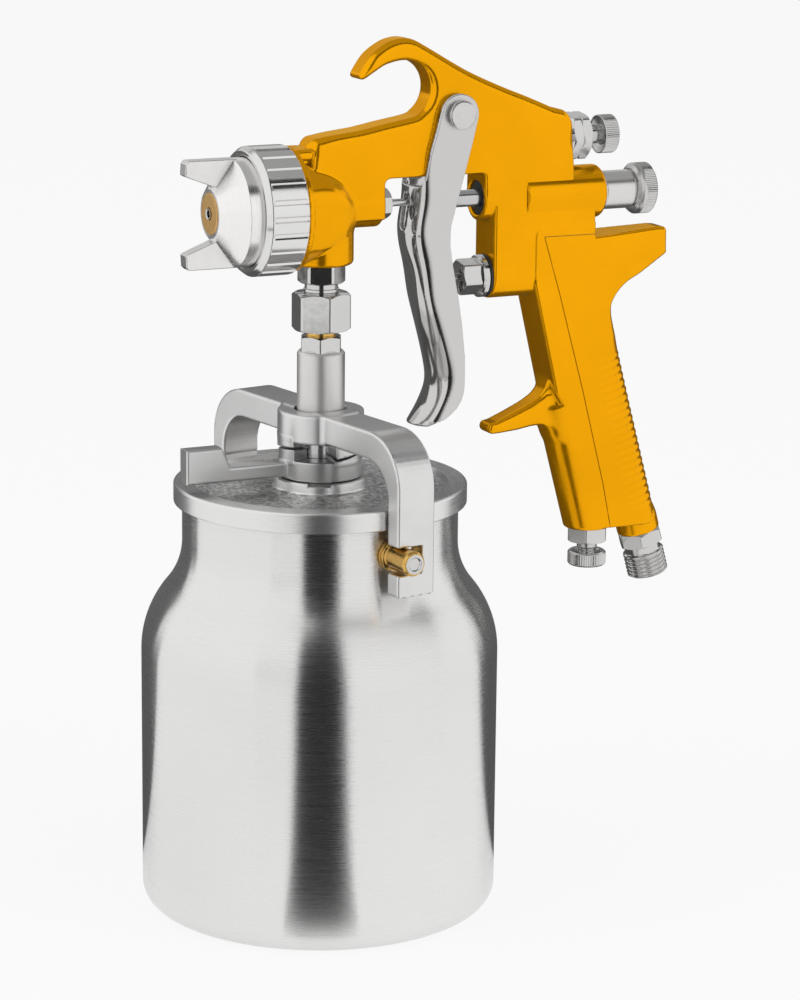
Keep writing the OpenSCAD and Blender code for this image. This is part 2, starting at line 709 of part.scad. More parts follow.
module fluid_control_sleeve() {
    back_x = rear_boss_x + control_sleeve_l;
    edge = 0.4;
    color("silver") at_spray()
        turned_x([[control_bore_r, rear_boss_x - control_thread_l], [carrier_bore_r - fit_gap,
            rear_boss_x - control_thread_l],
            [carrier_bore_r - fit_gap, rear_boss_x], [control_sleeve_r, rear_boss_x],
                [control_sleeve_r, back_x - edge],
            [control_sleeve_r - edge, back_x], [control_bore_r, back_x]]);
}

module fluid_knob() {
    edge = 0.5;
    back_x = fluid_knob_x + fluid_knob_l;
    screw_r = control_bore_r - fit_gap;
    color("silver") at_spray()
        turned_x([[0, control_screw_x], [screw_r, control_screw_x], [screw_r, fluid_knob_x],
            [fluid_knob_r - edge, fluid_knob_x], [fluid_knob_r, fluid_knob_x + edge], [fluid_knob_r,
                back_x - edge],
            [fluid_knob_r - edge, back_x], [0, back_x]]);
}

// Fan control

module fan_bushing() {
    groove_x = plate_rear_x + fan_hex_l * 0.3;
    color("silver") at_spray() translate([0, 0, fan_up]) difference() {
        union() {
            shaft_x(plate_rear_x - fan_thread_l, plate_rear_x + eps, fan_thread_r);
            translate([plate_rear_x, 0, 0]) rotate([0, 90, 0]) hex_bar(fan_hex_l, fan_af);
        }
        shaft_x(plate_rear_x - big, fan_hex_end_x + 1, fan_stem_r + fit_gap);
        turned_x([[fan_af / 2 - 0.3, groove_x], [fan_af, groove_x], [fan_af, groove_x + 0.7],
            [fan_af / 2 - 0.3, groove_x + 0.7]]);
    }
}

module fan_stem() {
    front_x = plate_rear_x - fan_thread_l + 1;
    tip_r = fan_way_r - 0.3;
    color("lightgray") at_spray()
        turned_x([[0, front_x - 9], [tip_r - 0.8, front_x - 9], [tip_r, front_x - 6], [tip_r, front_x],
            [fan_stem_r, front_x],
            [fan_stem_r, fan_knob_x], [0, fan_knob_x]], fan_up);
}

module fan_knob() {
    edge = 0.5;
    color("silver") at_spray()
        turned_x([[0, fan_knob_x], [fan_knob_r - edge, fan_knob_x], [fan_knob_r, fan_knob_x + edge],
            [fan_knob_r, fan_knob_x + fan_knob_l - edge], [fan_knob_r - edge, fan_knob_x + fan_knob_l],
            [0, fan_knob_x + fan_knob_l]], fan_up);
}

// Air valve

module air_valve_nut() {
    color("silver") at_spray() translate([0, 0, -valve_drop]) difference() {
        union() {
            translate([valve_hex_x, 0, 0]) rotate([0, 90, 0]) rotate([0, 0, valve_hex_turn])
                hex_bar(valve_hex_l + eps, valve_af, true, false);
            shaft_x(valve_flange_x, valve_flange_x + valve_flange_t, valve_flange_r);
            shaft_x(valve_flange_x, block_front_x + valve_thread_l, valve_bore_r - fit_gap);
        }
        shaft_x(0, big, valve_rod_r + fit_gap);
    }
}

module air_valve_washer() {
    color("black") at_spray()
        turned_x([[valve_bore_r + fit_gap, block_front_x - washer_t], [valve_flange_r - 0.2,
            block_front_x - washer_t],
            [valve_flange_r - 0.2, block_front_x], [valve_bore_r + fit_gap, block_front_x]], -valve_drop);
}

module air_valve_seat() {
    seat_x = block_front_x + valve_thread_l;
    color("goldenrod") at_spray()
        turned_x([[valve_rod_r + 1, seat_x], [valve_bore_r - fit_gap, seat_x], [valve_bore_r - fit_gap,
            seat_x + valve_seat_l],
            [valve_rod_r + 1, seat_x + valve_seat_l]], -valve_drop);
}

module air_valve_rod() {
    head_r = valve_bore_r - 0.7;
    head_end_x = valve_head_x + valve_head_l;
    color("lightgray") at_spray()
        turned_x([[0, rod_x], [valve_rod_r - 0.4, rod_x], [valve_rod_r, rod_x + 0.4], [valve_rod_r,
            valve_head_x],
            [head_r, valve_head_x], [head_r, head_end_x], [valve_rod_r, head_end_x], [valve_rod_r,
                head_end_x + 7],
            [0, head_end_x + 7]], -valve_drop);
}

module air_valve_spring() {
    wire_r = 0.45;
    head_end_x = valve_head_x + valve_head_l;
    color("darkgray") at_spray() translate([head_end_x, 0, -valve_drop]) rotate([0, 90, 0])
        coil(valve_bore_r - wire_r - 0.7, wire_r, valve_end_x - head_end_x, 7);
}

// Trigger

module cheek() {
    points = concat(swap(web_front, 0), swap(cheek_front_up, 0), arc([0, 0], trigger_eye_r, 195, -20,
        12), flip(swap(cheek_back, 0)));
    translate([pivot_x, 0, pivot_up]) rotate([90, 0,
        0]) linear_extrude(height = trigger_sheet) polygon(points);
}

module trigger() {
    web = concat(swap(web_front, pivot_x), flip(swap(web_front, pivot_x + trigger_sheet)));
    color("lightgray") at_spray() difference() {
        union() {
            translate([0, -cheek_in, 0]) cheek();
            translate([0, cheek_out, 0]) cheek();
            translate([0, 0, pivot_up]) side_plate(web, cheek_in + eps);
        }
        shaft_y(pivot_x, pivot_up, -big, big, pivot_r + fit_gap);
        // Upright slot for the needle, long enough for the trigger's swing
        shaft_x(0, pivot_x, needle_hole_r, needle_slot_up);
        shaft_x(0, pivot_x, needle_hole_r, -needle_slot_down);
        translate([0, -needle_hole_r, -needle_slot_down]) cube([pivot_x, 2 * needle_hole_r,
            needle_slot_up + needle_slot_down]);
    }
}

module trigger_pin() {
    color("lightgray") at_spray() difference() {
        union() {
            shaft_y(pivot_x, pivot_up, -cheek_out - turn_gap, cheek_out + turn_gap, pivot_r);
            shaft_y(pivot_x, pivot_up, -cheek_out - turn_gap - pin_head_t, -cheek_out - turn_gap,
                pivot_head_r);
        }
        shaft_y(pivot_x, pivot_up, cheek_out - 6, big, pivot_r * 0.55);
    }
}

module trigger_pin_screw() {
    seat_y = cheek_out + turn_gap;
    color("silver") at_spray() difference() {
        union() {
            shaft_y(pivot_x, pivot_up, seat_y - 5.5, seat_y + eps, pivot_r * 0.55 - fit_gap);
            shaft_y(pivot_x, pivot_up, seat_y, seat_y + pin_head_t + 0.4, pivot_head_r - 0.4);
        }
        translate([pivot_x, seat_y + pin_head_t + 0.4, pivot_up]) cube([2 * pivot_head_r, 1.2, 0.8],
            center = true);
    }
}

// Handle fittings

module regulator_bushing() {
    color("silver") at_spray() translate([regulator_x, 0, front_tube_foot[1]]) difference() {
        union() {
            translate([0, 0, -regulator_hex_h]) hex_bar(regulator_hex_h, regulator_af, true, false);
            shaft_z(-eps, spigot_l, regulator_spigot_r);
        }
        shaft_z(-big, big, regulator_stem_r + fit_gap);
    }
}

module regulator_stem() {
    low = -regulator_hex_h - regulator_stem_show;
    color("lightgray") at_spray() translate([regulator_x, 0, front_tube_foot[1]])
        rotate_extrude() polygon([[0, low], [regulator_stem_r, low], [regulator_stem_r, spigot_l - 2],
            [1.9, spigot_l - 0.5],
            [1.9, spigot_l + 3], [0.8, spigot_l + 6], [0, spigot_l + 6]]);
}

module regulator_knob() {
    edge = 0.5;
    top = -regulator_hex_h - regulator_stem_show;
    low = top - regulator_knob_h;
    color("silver") at_spray() translate([regulator_x, 0, front_tube_foot[1]])
        rotate_extrude() polygon([[0, low], [regulator_knob_r - edge, low], [regulator_knob_r,
            low + edge],
            [regulator_knob_r, top - edge], [regulator_knob_r - edge, top], [0, top]]);
}

module air_inlet() {
    thread_top = -air_hex_l - air_neck_l;
    low = thread_top - air_thread_l;
    color("silver") at_spray() on_lean(rear_tube_foot) difference() {
        union() {
            shaft_z(-eps, spigot_l, air_spigot_r);
            translate([0, 0, -air_hex_l]) rotate([0, 0, 8]) hex_bar(air_hex_l, air_hex_af);
            shaft_z(thread_top - eps, -air_hex_l + eps, air_thread_r - 0.9);
            shaft_z(low, thread_top, air_thread_r);
        }
        shaft_z(low - 1, spigot_l + 1, air_bore_r);
    }
}

// Fluid inlet and siphon stem

module fluid_inlet() {
    low = union_z + union_floor + 1.7;
    color("silver") difference() {
        union() {
            shaft_z(low, inlet_hex_z + eps, inlet_neck_r);
            translate([0, 0, inlet_hex_z]) rotate([0, 0, -25]) hex_bar(inlet_hex_h, inlet_hex_af);
            shaft_z(inlet_top_z - eps, inlet_top_z + inlet_spigot_l, inlet_spigot_r);
        }
        shaft_z(0, big, fluid_bore_r);
    }
}

module union_nut() {
    color("silver") difference() {
        translate([0, 0, union_z]) rotate([0, 0, -37]) hex_bar(union_h, union_af);
        shaft_z(union_z + union_floor, big, inlet_neck_r + 2 * fit_gap);
        shaft_z(0, big, cone_r + 2 * fit_gap);
    }
}

module cone_seat() {
    flange_z = union_z + union_floor + 0.1;
    spigot_r = tube_r - 0.5;
    color("goldenrod")
        rotate_extrude() polygon([[fluid_bore_r, stem_hex_z], [spigot_r - fit_gap, stem_hex_z],
            [spigot_r - fit_gap, stem_top_z],
            [cone_r, stem_top_z], [cone_r, flange_z], [inlet_neck_r - 0.1, flange_z],
                [inlet_neck_r - 0.1, flange_z + 1.5],
            [fluid_bore_r, flange_z + 1.5]]);
}

module siphon_stem() {
    color("lightgray") difference() {
        union() {
            shaft_z(stem_low_z, stem_hex_z + eps, shank_r);
            translate([0, 0, stem_hex_z]) rotate([0, 0, 4.65]) hex_bar(stem_hex_h, stem_hex_af, false,
                true);
        }
        shaft_z(stem_low_z - 1, big, tube_r - 0.5);
        shaft_z(stem_low_z - 1, tube_top_z, tube_r + fit_gap);
    }
}

module spacer_sleeve() {
    color("lightgray") rotate_extrude() polygon([[shank_bore_r, sleeve_z], [sleeve_r, sleeve_z],
        [sleeve_r, stem_hex_z],
        [shank_bore_r, stem_hex_z]]);
}

module siphon_tube() {
    foot_z = cup_base_t + tube_foot_gap;
    color("lightgray") difference() {
        shaft_z(foot_z, tube_top_z, tube_r);
        shaft_z(foot_z - 1, tube_top_z + 1, tube_bore_r);
        translate([0, 0, foot_z]) rotate([0, 30, 0]) translate([0, 0, -tube_r]) cube([big, big,
            2 * tube_r], center = true);
    }
}

module stem_locknut() {
    color("silver") difference() {
        translate([0, 0, lid_under_z - locknut_h]) hex_bar(locknut_h, locknut_af, true, false);
        shaft_z(0, big, shank_bore_r);
    }
}

// Yoke and clamp lever

// A slice of a circle between two angles, taller than anything it cuts
module wedge(a, b, z0, z1) {
    r = 3 * hub_r;
    translate([0, 0, z0]) linear_extrude(height = z1 - z0)
        polygon([[0, 0], r * [cos(a), sin(a)], r * [cos((2 * a + b) / 3), sin((2 * a + b) / 3)],
            r * [cos((a + 2 * b) / 3), sin((a + 2 * b) / 3)], r * [cos(b), sin(b)]]);
}
cam_from = 87;
cam_to = 207;
cam_steep = atan(ramp_rise / (2 * collar_r * cos(30)));
// Everything below the sloped cam face of one half, moved up by lift
module below_cam(lift) {
    translate([0, 0, cam_z + ramp_rise / 2 + lift]) rotate([0, 0, (cam_from + cam_to) / 2])
        rotate([cam_steep, 0, 0]) translate([-big / 2, -big / 2, -big]) cube(big);
}

module clamp_lever() {
    arm_z = collar_z + 0.8;
    block_z = arm_z + lever_block_h;
    arm_top = arm_z + lever_arm_h;
    end_x = -lever_reach;
    outline = [[end_x, arm_z], [-8, arm_z], [-8, arm_top], [end_x + lever_block_l + 2.7, arm_top],
               [end_x + lever_block_l, block_z], [end_x, block_z]];
    color("darkgray") difference() {
        union() {
            shaft_z(collar_z, cam_z - cam_step, collar_r);
            for (half = [0, 180]) rotate([0, 0, half]) intersection() {
                shaft_z(cam_z - cam_step - eps, cam_z + ramp_rise + 1, collar_r);
                wedge(cam_from, cam_to, cam_z - 2, cam_z + ramp_rise + 2);
                below_cam(0);
            }
            side_plate(outline, lever_w / 2);
        }
        shaft_z(0, big, shank_bore_r);
    }
}

module yoke_outline() {
    bar_z = hub_top_z - yoke_bar_h;
    in_bend_r = yoke_bend_r - yoke_leg_t + 1;
    leg_z = stud_z - leg_below_stud;
    difference() {
        union() {
            translate([-leg_out, leg_z]) square([2 * leg_out, hub_top_z - yoke_bend_r - leg_z]);
            translate([-leg_out + yoke_bend_r, leg_z]) square([2 * (leg_out - yoke_bend_r),
                hub_top_z - leg_z]);
            for (side = [-1, 1]) translate([side * (leg_out - yoke_bend_r),
                hub_top_z - yoke_bend_r]) circle(r = yoke_bend_r);
        }
        translate([-leg_in, leg_z - 1]) square([2 * leg_in, bar_z - in_bend_r - leg_z + 1]);
        translate([-leg_in + in_bend_r, leg_z - 1]) square([2 * (leg_in - in_bend_r), bar_z - leg_z + 1]);
        for (side = [-1, 1]) translate([side * (leg_in - in_bend_r),
            bar_z - in_bend_r]) circle(r = in_bend_r);
    }
}

module yoke() {
    slot_half = stud_r + 0.4;
    slot_end = 2;
    color("silver") difference() {
        union() {
            rotate([0, 0, yoke_azimuth]) rotate([90, 0, 0]) linear_extrude(height = yoke_w,
                center = true) yoke_outline();
            shaft_z(hub_z, hub_top_z, hub_r);
            for (half = [0, 180]) rotate([0, 0, half]) difference() {
                intersection() {
                    shaft_z(cam_z, hub_z + eps, hub_r);
                    wedge(cam_from, cam_to, cam_z - 1, hub_z + 1);
                }
                below_cam(cam_gap);
            }
        }
        shaft_z(0, big, shank_bore_r);
        for (half = [0, 180]) rotate([0, 0, yoke_azimuth + half])
            translate([leg_in - 2, -big + slot_end, stud_z - slot_half]) cube([yoke_leg_t + 4, big,
                2 * slot_half]);
    }
}

// Lid and cup

module lid() {
    skirt_z = lid_rim_z - lid_skirt_h;
    rim_in_r = lid_r - lid_rim_w;
    color("silver") difference() {
        rotate_extrude() polygon([[shank_bore_r, lid_under_z], [skirt_in_r, lid_under_z], [skirt_in_r,
            skirt_z], [lid_r, skirt_z],
            [lid_r, lid_rim_z - 0.6], [lid_r - 0.6, lid_rim_z], [rim_in_r, lid_rim_z],
                [rim_in_r - lid_rim_rise, lid_floor_z],
            [lid_boss_r + 0.8, lid_floor_z], [lid_boss_r, lid_boss_z - 0.6], [lid_boss_r - 0.6,
                lid_boss_z],
            [shank_bore_r, lid_boss_z]]);
        rotate([0, 0, -115]) translate([lid_boss_r - 2, -vent_w / 2, lid_boss_z - 1]) cube([5, vent_w,
            2]);
    }
}

module lid_gasket() {
    color("dimgray") rotate_extrude() polygon([[cup_neck_r - 5, cup_h], [skirt_in_r - 0.1, cup_h],
        [skirt_in_r - 0.1, lid_under_z], [cup_neck_r - 5, lid_under_z]]);
}

// Half section of the cup's outside, or of its inside when inset by a wall
function cup_side(inset, floor_z) =
    let (drop = cup_r - cup_neck_r, tilt = 2 * atan(drop / cup_shoulder_h),
        total = cup_shoulder_h / sin(tilt))
    let (bulge_r = total * cup_bulge_share, hollow_r = total - bulge_r, corner = cup_corner_r)
    concat([[0, floor_z]],
        arc([cup_r - corner, corner], corner - inset, -asin(min(1,
            (corner - floor_z) / (corner - inset))), 0),
        arc([cup_r - bulge_r, shoulder_z], bulge_r - inset, 0, tilt),
        flip(arc([cup_neck_r + hollow_r, neck_z], hollow_r + inset, 180, 180 + tilt)));

module cup() {
    hole_r = stud_r - 1.3 + fit_gap;
    color("silver") difference() {
        rotate_extrude() polygon(concat(cup_side(0, 0), [[cup_neck_r, cup_h], [0, cup_h]]));
        rotate_extrude() polygon(concat(cup_side(cup_wall, cup_base_t), [[cup_neck_r - cup_wall,
            cup_h + 1], [0, cup_h + 1]]));
        for (half = [0, 180]) rotate([0, 0, stud_azimuth + half]) shaft_x(cup_neck_r - 5,
            cup_neck_r + 2, hole_r, stud_z);
    }
}

module cup_studs() {
    tail_r = stud_r - 1.3;
    out = leg_out + stud_proud;
    seat = cup_neck_r + 0.1;
    inside = cup_neck_r - cup_wall - 0.3;
    for (half = [0, 180]) color("goldenrod") rotate([0, 0, stud_azimuth + half])
        turned_x([[0, inside - 1], [tail_r + 1, inside - 1], [tail_r + 1, inside], [tail_r, inside],
            [tail_r, seat],
            [stud_flange_r, seat], [stud_flange_r, seat + 1.2], [stud_r + 0.2, seat + 1.2], [stud_r,
                seat + 2.6],
            [stud_r, out - 0.8], [stud_r - 0.8, out], [tail_r - 0.2, out], [tail_r - 0.2, out - 3], [0,
                out - 3]], stud_z);
}

module stud_plugs() {
    plug_r = stud_r - 1.5 - fit_gap;
    out = leg_out + stud_proud;
    for (half = [0, 180]) color("whitesmoke") rotate([0, 0, stud_azimuth + half])
        turned_x([[0, out - 3], [plug_r, out - 3], [plug_r, out - 0.2], [plug_r - 0.6, out - 0.5], [0,
            out - 0.5]], stud_z);
}

gun_body();
air_cap_ring();
air_cap();
air_cap_centre();
fluid_nozzle();
air_baffle();
fluid_needle();
needle_carrier();
needle_packing();
packing_nut();
needle_guide();
needle_spring();
fluid_control_sleeve();
fluid_knob();
fan_bushing();
fan_stem();
fan_knob();
air_valve_nut();
air_valve_washer();
air_valve_seat();
air_valve_rod();
air_valve_spring();
trigger();
trigger_pin();
trigger_pin_screw();
regulator_bushing();
regulator_stem();
regulator_knob();
air_inlet();
fluid_inlet();
union_nut();
cone_seat();
siphon_stem();
spacer_sleeve();
siphon_tube();
stem_locknut();
yoke();
clamp_lever();
lid();
lid_gasket();
cup();
cup_studs();
stud_plugs();
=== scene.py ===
import math

import bpy
import numpy as np
from bpy.props import FloatProperty, FloatVectorProperty, IntProperty, PointerProperty
from bpy.types import Operator, Panel, PropertyGroup
from mathutils import Matrix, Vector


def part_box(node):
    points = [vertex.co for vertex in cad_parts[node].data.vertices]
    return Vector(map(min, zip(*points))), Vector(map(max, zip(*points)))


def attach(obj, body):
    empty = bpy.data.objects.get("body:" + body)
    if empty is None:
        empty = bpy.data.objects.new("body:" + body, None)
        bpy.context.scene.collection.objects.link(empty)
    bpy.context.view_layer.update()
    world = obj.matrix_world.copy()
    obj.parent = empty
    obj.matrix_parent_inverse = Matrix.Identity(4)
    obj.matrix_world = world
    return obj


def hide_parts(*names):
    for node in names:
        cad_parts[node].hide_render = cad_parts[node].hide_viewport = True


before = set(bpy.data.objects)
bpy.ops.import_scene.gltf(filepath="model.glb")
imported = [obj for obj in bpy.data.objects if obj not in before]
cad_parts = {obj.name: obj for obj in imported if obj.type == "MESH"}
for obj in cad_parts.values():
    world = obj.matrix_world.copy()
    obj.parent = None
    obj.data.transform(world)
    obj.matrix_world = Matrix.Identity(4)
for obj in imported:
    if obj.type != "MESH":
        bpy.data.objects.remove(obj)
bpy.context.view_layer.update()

bl_info = {
    "name": "Suction feed spray gun",
    "version": (1, 0, 0),
    "blender": (4, 5, 0),
    "location": "View3D > Sidebar > Spray gun",
    "description": "Dresses the packed spray gun: casting, trigger, fittings, clamp, lid and cup",
    "category": "Object",
}

MM = 0.001
AFT, UP = np.array([1.0, 0.0, 0.0]), np.array([0.0, 0.0, 1.0])


def span(node):
    """Lowest and highest corner of a CAD node at rest, in millimetres."""
    low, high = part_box(node)
    return np.array(low) / MM, np.array(high) / MM


def centre(node):
    """Middle of a CAD node's box at rest, in millimetres."""
    low, high = span(node)
    return (low + high) / 2


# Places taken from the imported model, in millimetres
SPRAY_Z = centre("air_cap_ring")[2]
RING_FRONT, RING_BACK = span("air_cap_ring")[0][0], span("air_cap_ring")[1][0]
VALVE_DROP = SPRAY_Z - centre("air_valve_washer")[2]
FAN_UP = centre("fan_knob")[2] - SPRAY_Z
CUP_R, CUP_H = span("cup")[1][0], span("cup")[1][2]
LID_R, LID_TOP = span("lid")[1][0], span("lid")[1][2]
HUB_TOP = span("yoke")[1][2]
STUD_Z = centre("cup_studs")[2]
SPRAY_AT, CUP_AT = (0, 0, SPRAY_Z), (0, 0, 0)

# Places measured in the same frame, in millimetres and radians
HANDLE_LEAN = math.radians(15.3)
LEAN = np.array([-math.sin(HANDLE_LEAN), 0.0, math.cos(HANDLE_LEAN)])
REAR_FOOT = np.array([111.7, 0.0, SPRAY_Z - 110.4])
FRONT_FOOT = np.array([93.0, 0.0, SPRAY_Z - 107.6])
LID_RIM_DROP, LID_SUNK = 1.5, 1.7
LID_FLOOR = LID_TOP - LID_RIM_DROP - LID_SUNK
STUD_AZIMUTH, YOKE_AZIMUTH = math.radians(-84), math.radians(-80.5)

# Outer diameter of a quarter-inch pipe thread
PIPE_THREAD = 13.157

# Camera: place in metres, azimuth and pitch in degrees, roll in radians, focal length in millimetres
CAMERA_AT = (-0.4221, -0.9480, 0.3782)
VIEW_AZIMUTH, VIEW_PITCH, VIEW_ROLL = -25.35, 13.57, 0.0105
FOCAL_LENGTH = 125.44


# Sizes and colours a user would change

class GunPaint(PropertyGroup):
    """Painted casting."""
    colour: FloatVectorProperty(name="Paint", description="Colour of the painted casting",
                                subtype="COLOR", size=3, min=0, max=1, default=(0.93, 0.4, 0.0025))
    metallic: FloatProperty(name="Metal under the paint", description="How far the metal shows through",
                            subtype="FACTOR", min=0, max=1, default=0.82)
    roughness: FloatProperty(name="Roughness", description="Roughness of the paint",
                             subtype="FACTOR", min=0, max=1, default=0.2)
    edge: FloatProperty(name="Casting edge", description="Radius of the casting's edges in mm",
                        min=0.5, max=3, default=2.4)
    ribs: IntProperty(name="Grip ribs", description="Ribs down the back of the handle",
                      min=8, max=40, default=21)
    rib_rise: FloatProperty(name="Rib rise", description="Height of a grip rib in mm",
                            min=0.1, max=1, default=0.27)


class GunMetal(PropertyGroup):
    """Bare and plated metals."""
    nickel: FloatVectorProperty(name="Nickel", description="Colour of the plated fittings",
                                subtype="COLOR", size=3, min=0, max=1, default=(0.64, 0.635, 0.625))
    aluminium: FloatVectorProperty(name="Aluminium", description="Colour of cup, lid, yoke and lever",
                                   subtype="COLOR", size=3, min=0, max=1, default=(0.79, 0.785, 0.78))
    brass: FloatVectorProperty(name="Brass", description="Colour of the studs and the brass seat",
                               subtype="COLOR", size=3, min=0, max=1, default=(0.72, 0.44, 0.12))
    cup_roughness: FloatProperty(name="Cup roughness", description="Roughness of the brushed cup",
                                 subtype="FACTOR", min=0, max=1, default=0.25)


class GunDetail(PropertyGroup):
    """Worked detail on the fittings."""
    ring_grooves: IntProperty(name="Ring grooves", description="Grip grooves round the air cap ring",
                              min=8, max=48, default=24)
    groove_width: FloatProperty(name="Groove width", description="Width of a ring groove in mm",
                                min=0.4, max=3, default=1.5)
    groove_depth: FloatProperty(name="Groove depth", description="Depth of a ring groove in mm",
                                min=0.1, max=1, default=0.5)
    knurl_pitch: FloatProperty(name="Knurl pitch", description="Distance between knurl teeth in mm",
                               min=0.4, max=2, default=0.6)
    knurl_depth: FloatProperty(name="Knurl depth", description="Depth of the knurl in mm",
                               min=0.05, max=0.5, default=0.16)
    thread_pitch: FloatProperty(name="Nipple thread pitch", description="Pitch of the air thread in mm",
                                min=0.8, max=2, default=1.337)
    pebble: FloatProperty(name="Lid grain", description="Depth of the cast grain in the lid in mm",
                          min=0, max=0.4, default=0.12)


class GunStage(PropertyGroup):
    """Floor and light."""
    floor: FloatVectorProperty(name="Floor", description="Colour of the floor", subtype="COLOR",
                               size=3, min=0, max=1, default=(0.92, 0.92, 0.92))
    fill: FloatProperty(name="Fill", description="Strength of the even light from all round",
                        min=0, max=2, default=0.62)
    key: FloatProperty(name="Soft boxes", description="Power of each soft box", unit="POWER",
                       min=0, max=100, default=7.5)
    dark: FloatProperty(name="Dark card", description="Brightness of the dark cards that metal mirrors",
                        min=0, max=1, default=0.03)


# Materials

MATERIALS = {}


class Nodes:
    """A material's node tree with short ways to add and link nodes."""

    def __init__(self, name):
        self.material = bpy.data.materials.new(name)
        self.material.use_nodes = True
        self.tree = self.material.node_tree
        self.shader = self.tree.nodes["Principled BSDF"]
        MATERIALS[name] = self.material

    def add(self, kind, **values):
        """A node with its settings, or the constants on its sockets, given by name."""
        node = self.tree.nodes.new(kind)
        for key, value in values.items():
            if hasattr(node, key):
                setattr(node, key, value)
            else:
                node.inputs[key].default_value = value
        return node

    def link(self, out, into):
        self.tree.links.new(out, into)

    def put(self, **values):
        """Sets constants on the shader's own sockets; an underscore stands for the blank in a name."""
        for key, value in values.items():
            self.shader.inputs[key.replace("_", " ")].default_value = value

    def feed(self, **outs):
        """Links outputs to the shader's sockets, named as in put."""
        for key, out in outs.items():
            self.link(out, self.shader.inputs[key.replace("_", " ")])

    def surface(self, out):
        self.link(out, self.tree.nodes["Material Output"].inputs["Surface"])

    def apart(self, kind, output):
        """X, Y and Z of a coordinate or a normal."""
        split = self.add("ShaderNodeSeparateXYZ")
        self.link(self.add(kind).outputs[output], split.inputs["Vector"])
        return split.outputs

    def noise(self, scale, detail=3.0, rough=0.55, stretch=(1, 1, 1), coordinate="Object"):
        """Noise on Object coordinates in metres, or on the UV map, stretched by a Mapping node."""
        mapping = self.add("ShaderNodeMapping", Scale=stretch)
        self.link(self.add("ShaderNodeTexCoord").outputs[coordinate], mapping.inputs["Vector"])
        noise = self.add("ShaderNodeTexNoise", Scale=scale, Detail=detail, Roughness=rough)
        self.link(mapping.outputs["Vector"], noise.inputs["Vector"])
        return noise.outputs["Fac"]

    def between(self, value, low, high, start=0.3, end=0.7):
        """Maps a value from start to end onto low to high, held level past both."""
        node = self.add("ShaderNodeMapRange")
        for key, number in (("From Min", start), ("From Max", end), ("To Min", low), ("To Max", high)):
            node.inputs[key].default_value = number
        self.link(value, node.inputs["Value"])
        return node.outputs["Result"]

    def shades(self, fac, first, second):
        """Mixes two colours by a value."""
        node = self.add("ShaderNodeMix", data_type="RGBA")
        node.inputs[6].default_value = (*first, 1)
        node.inputs[7].default_value = (*second, 1)
        self.link(fac, node.inputs[0])
        return node.outputs[2]

    def times(self, a, b):
        """Product of two values."""
        node = self.add("ShaderNodeMath", operation="MULTIPLY")
        self.link(a, node.inputs[0])
        self.link(b, node.inputs[1])
        return node.outputs["Value"]

    def bump(self, height, distance, strength=1.0):
        """Bump from a height in metres; its strength is a number or an output."""
        node = self.add("ShaderNodeBump", Distance=distance)
        if isinstance(strength, float):
            node.inputs["Strength"].default_value = strength
        else:
            self.link(strength, node.inputs["Strength"])
        self.link(height, node.inputs["Height"])
        return node.outputs["Normal"]


def tint(colour, k):
    """A colour made k times as bright."""
    return tuple(min(1.0, c * k) for c in colour)


TURNING = ((0.3, 40, 1), "UV")


def metal(key, colour, rough, vary=0.05, grain=900.0, depth=0.000004, swing=0.06, stretch=(1, 1, 1),
          coordinate="Object", anisotropic=0.0):
    """Bare metal: colour wanders with a slow noise, roughness and a bump follow a fine noise that can be
    stretched into tool marks, and mirrored light can be drawn out across them."""
    n = Nodes(key)
    slow = n.between(n.noise(60 if coordinate == "Object" else 5, 4), 0, 1)
    fine = n.noise(grain, 1.5, 0.5, stretch, coordinate)
    n.put(Metallic=1.0)
    n.feed(Base_Color=n.shades(slow, tint(colour, 1 - vary), tint(colour, 1 + vary)),
           Roughness=n.between(fine, max(0.02, rough - swing), rough + swing),
           Normal=n.bump(fine, depth))
    if anisotropic:
        way = n.add("ShaderNodeTangent", direction_type="UV_MAP", uv_map="UVMap")
        n.put(Anisotropic=anisotropic, Anisotropic_Rotation=0.25)
        n.feed(Tangent=way.outputs["Tangent"])
    return n


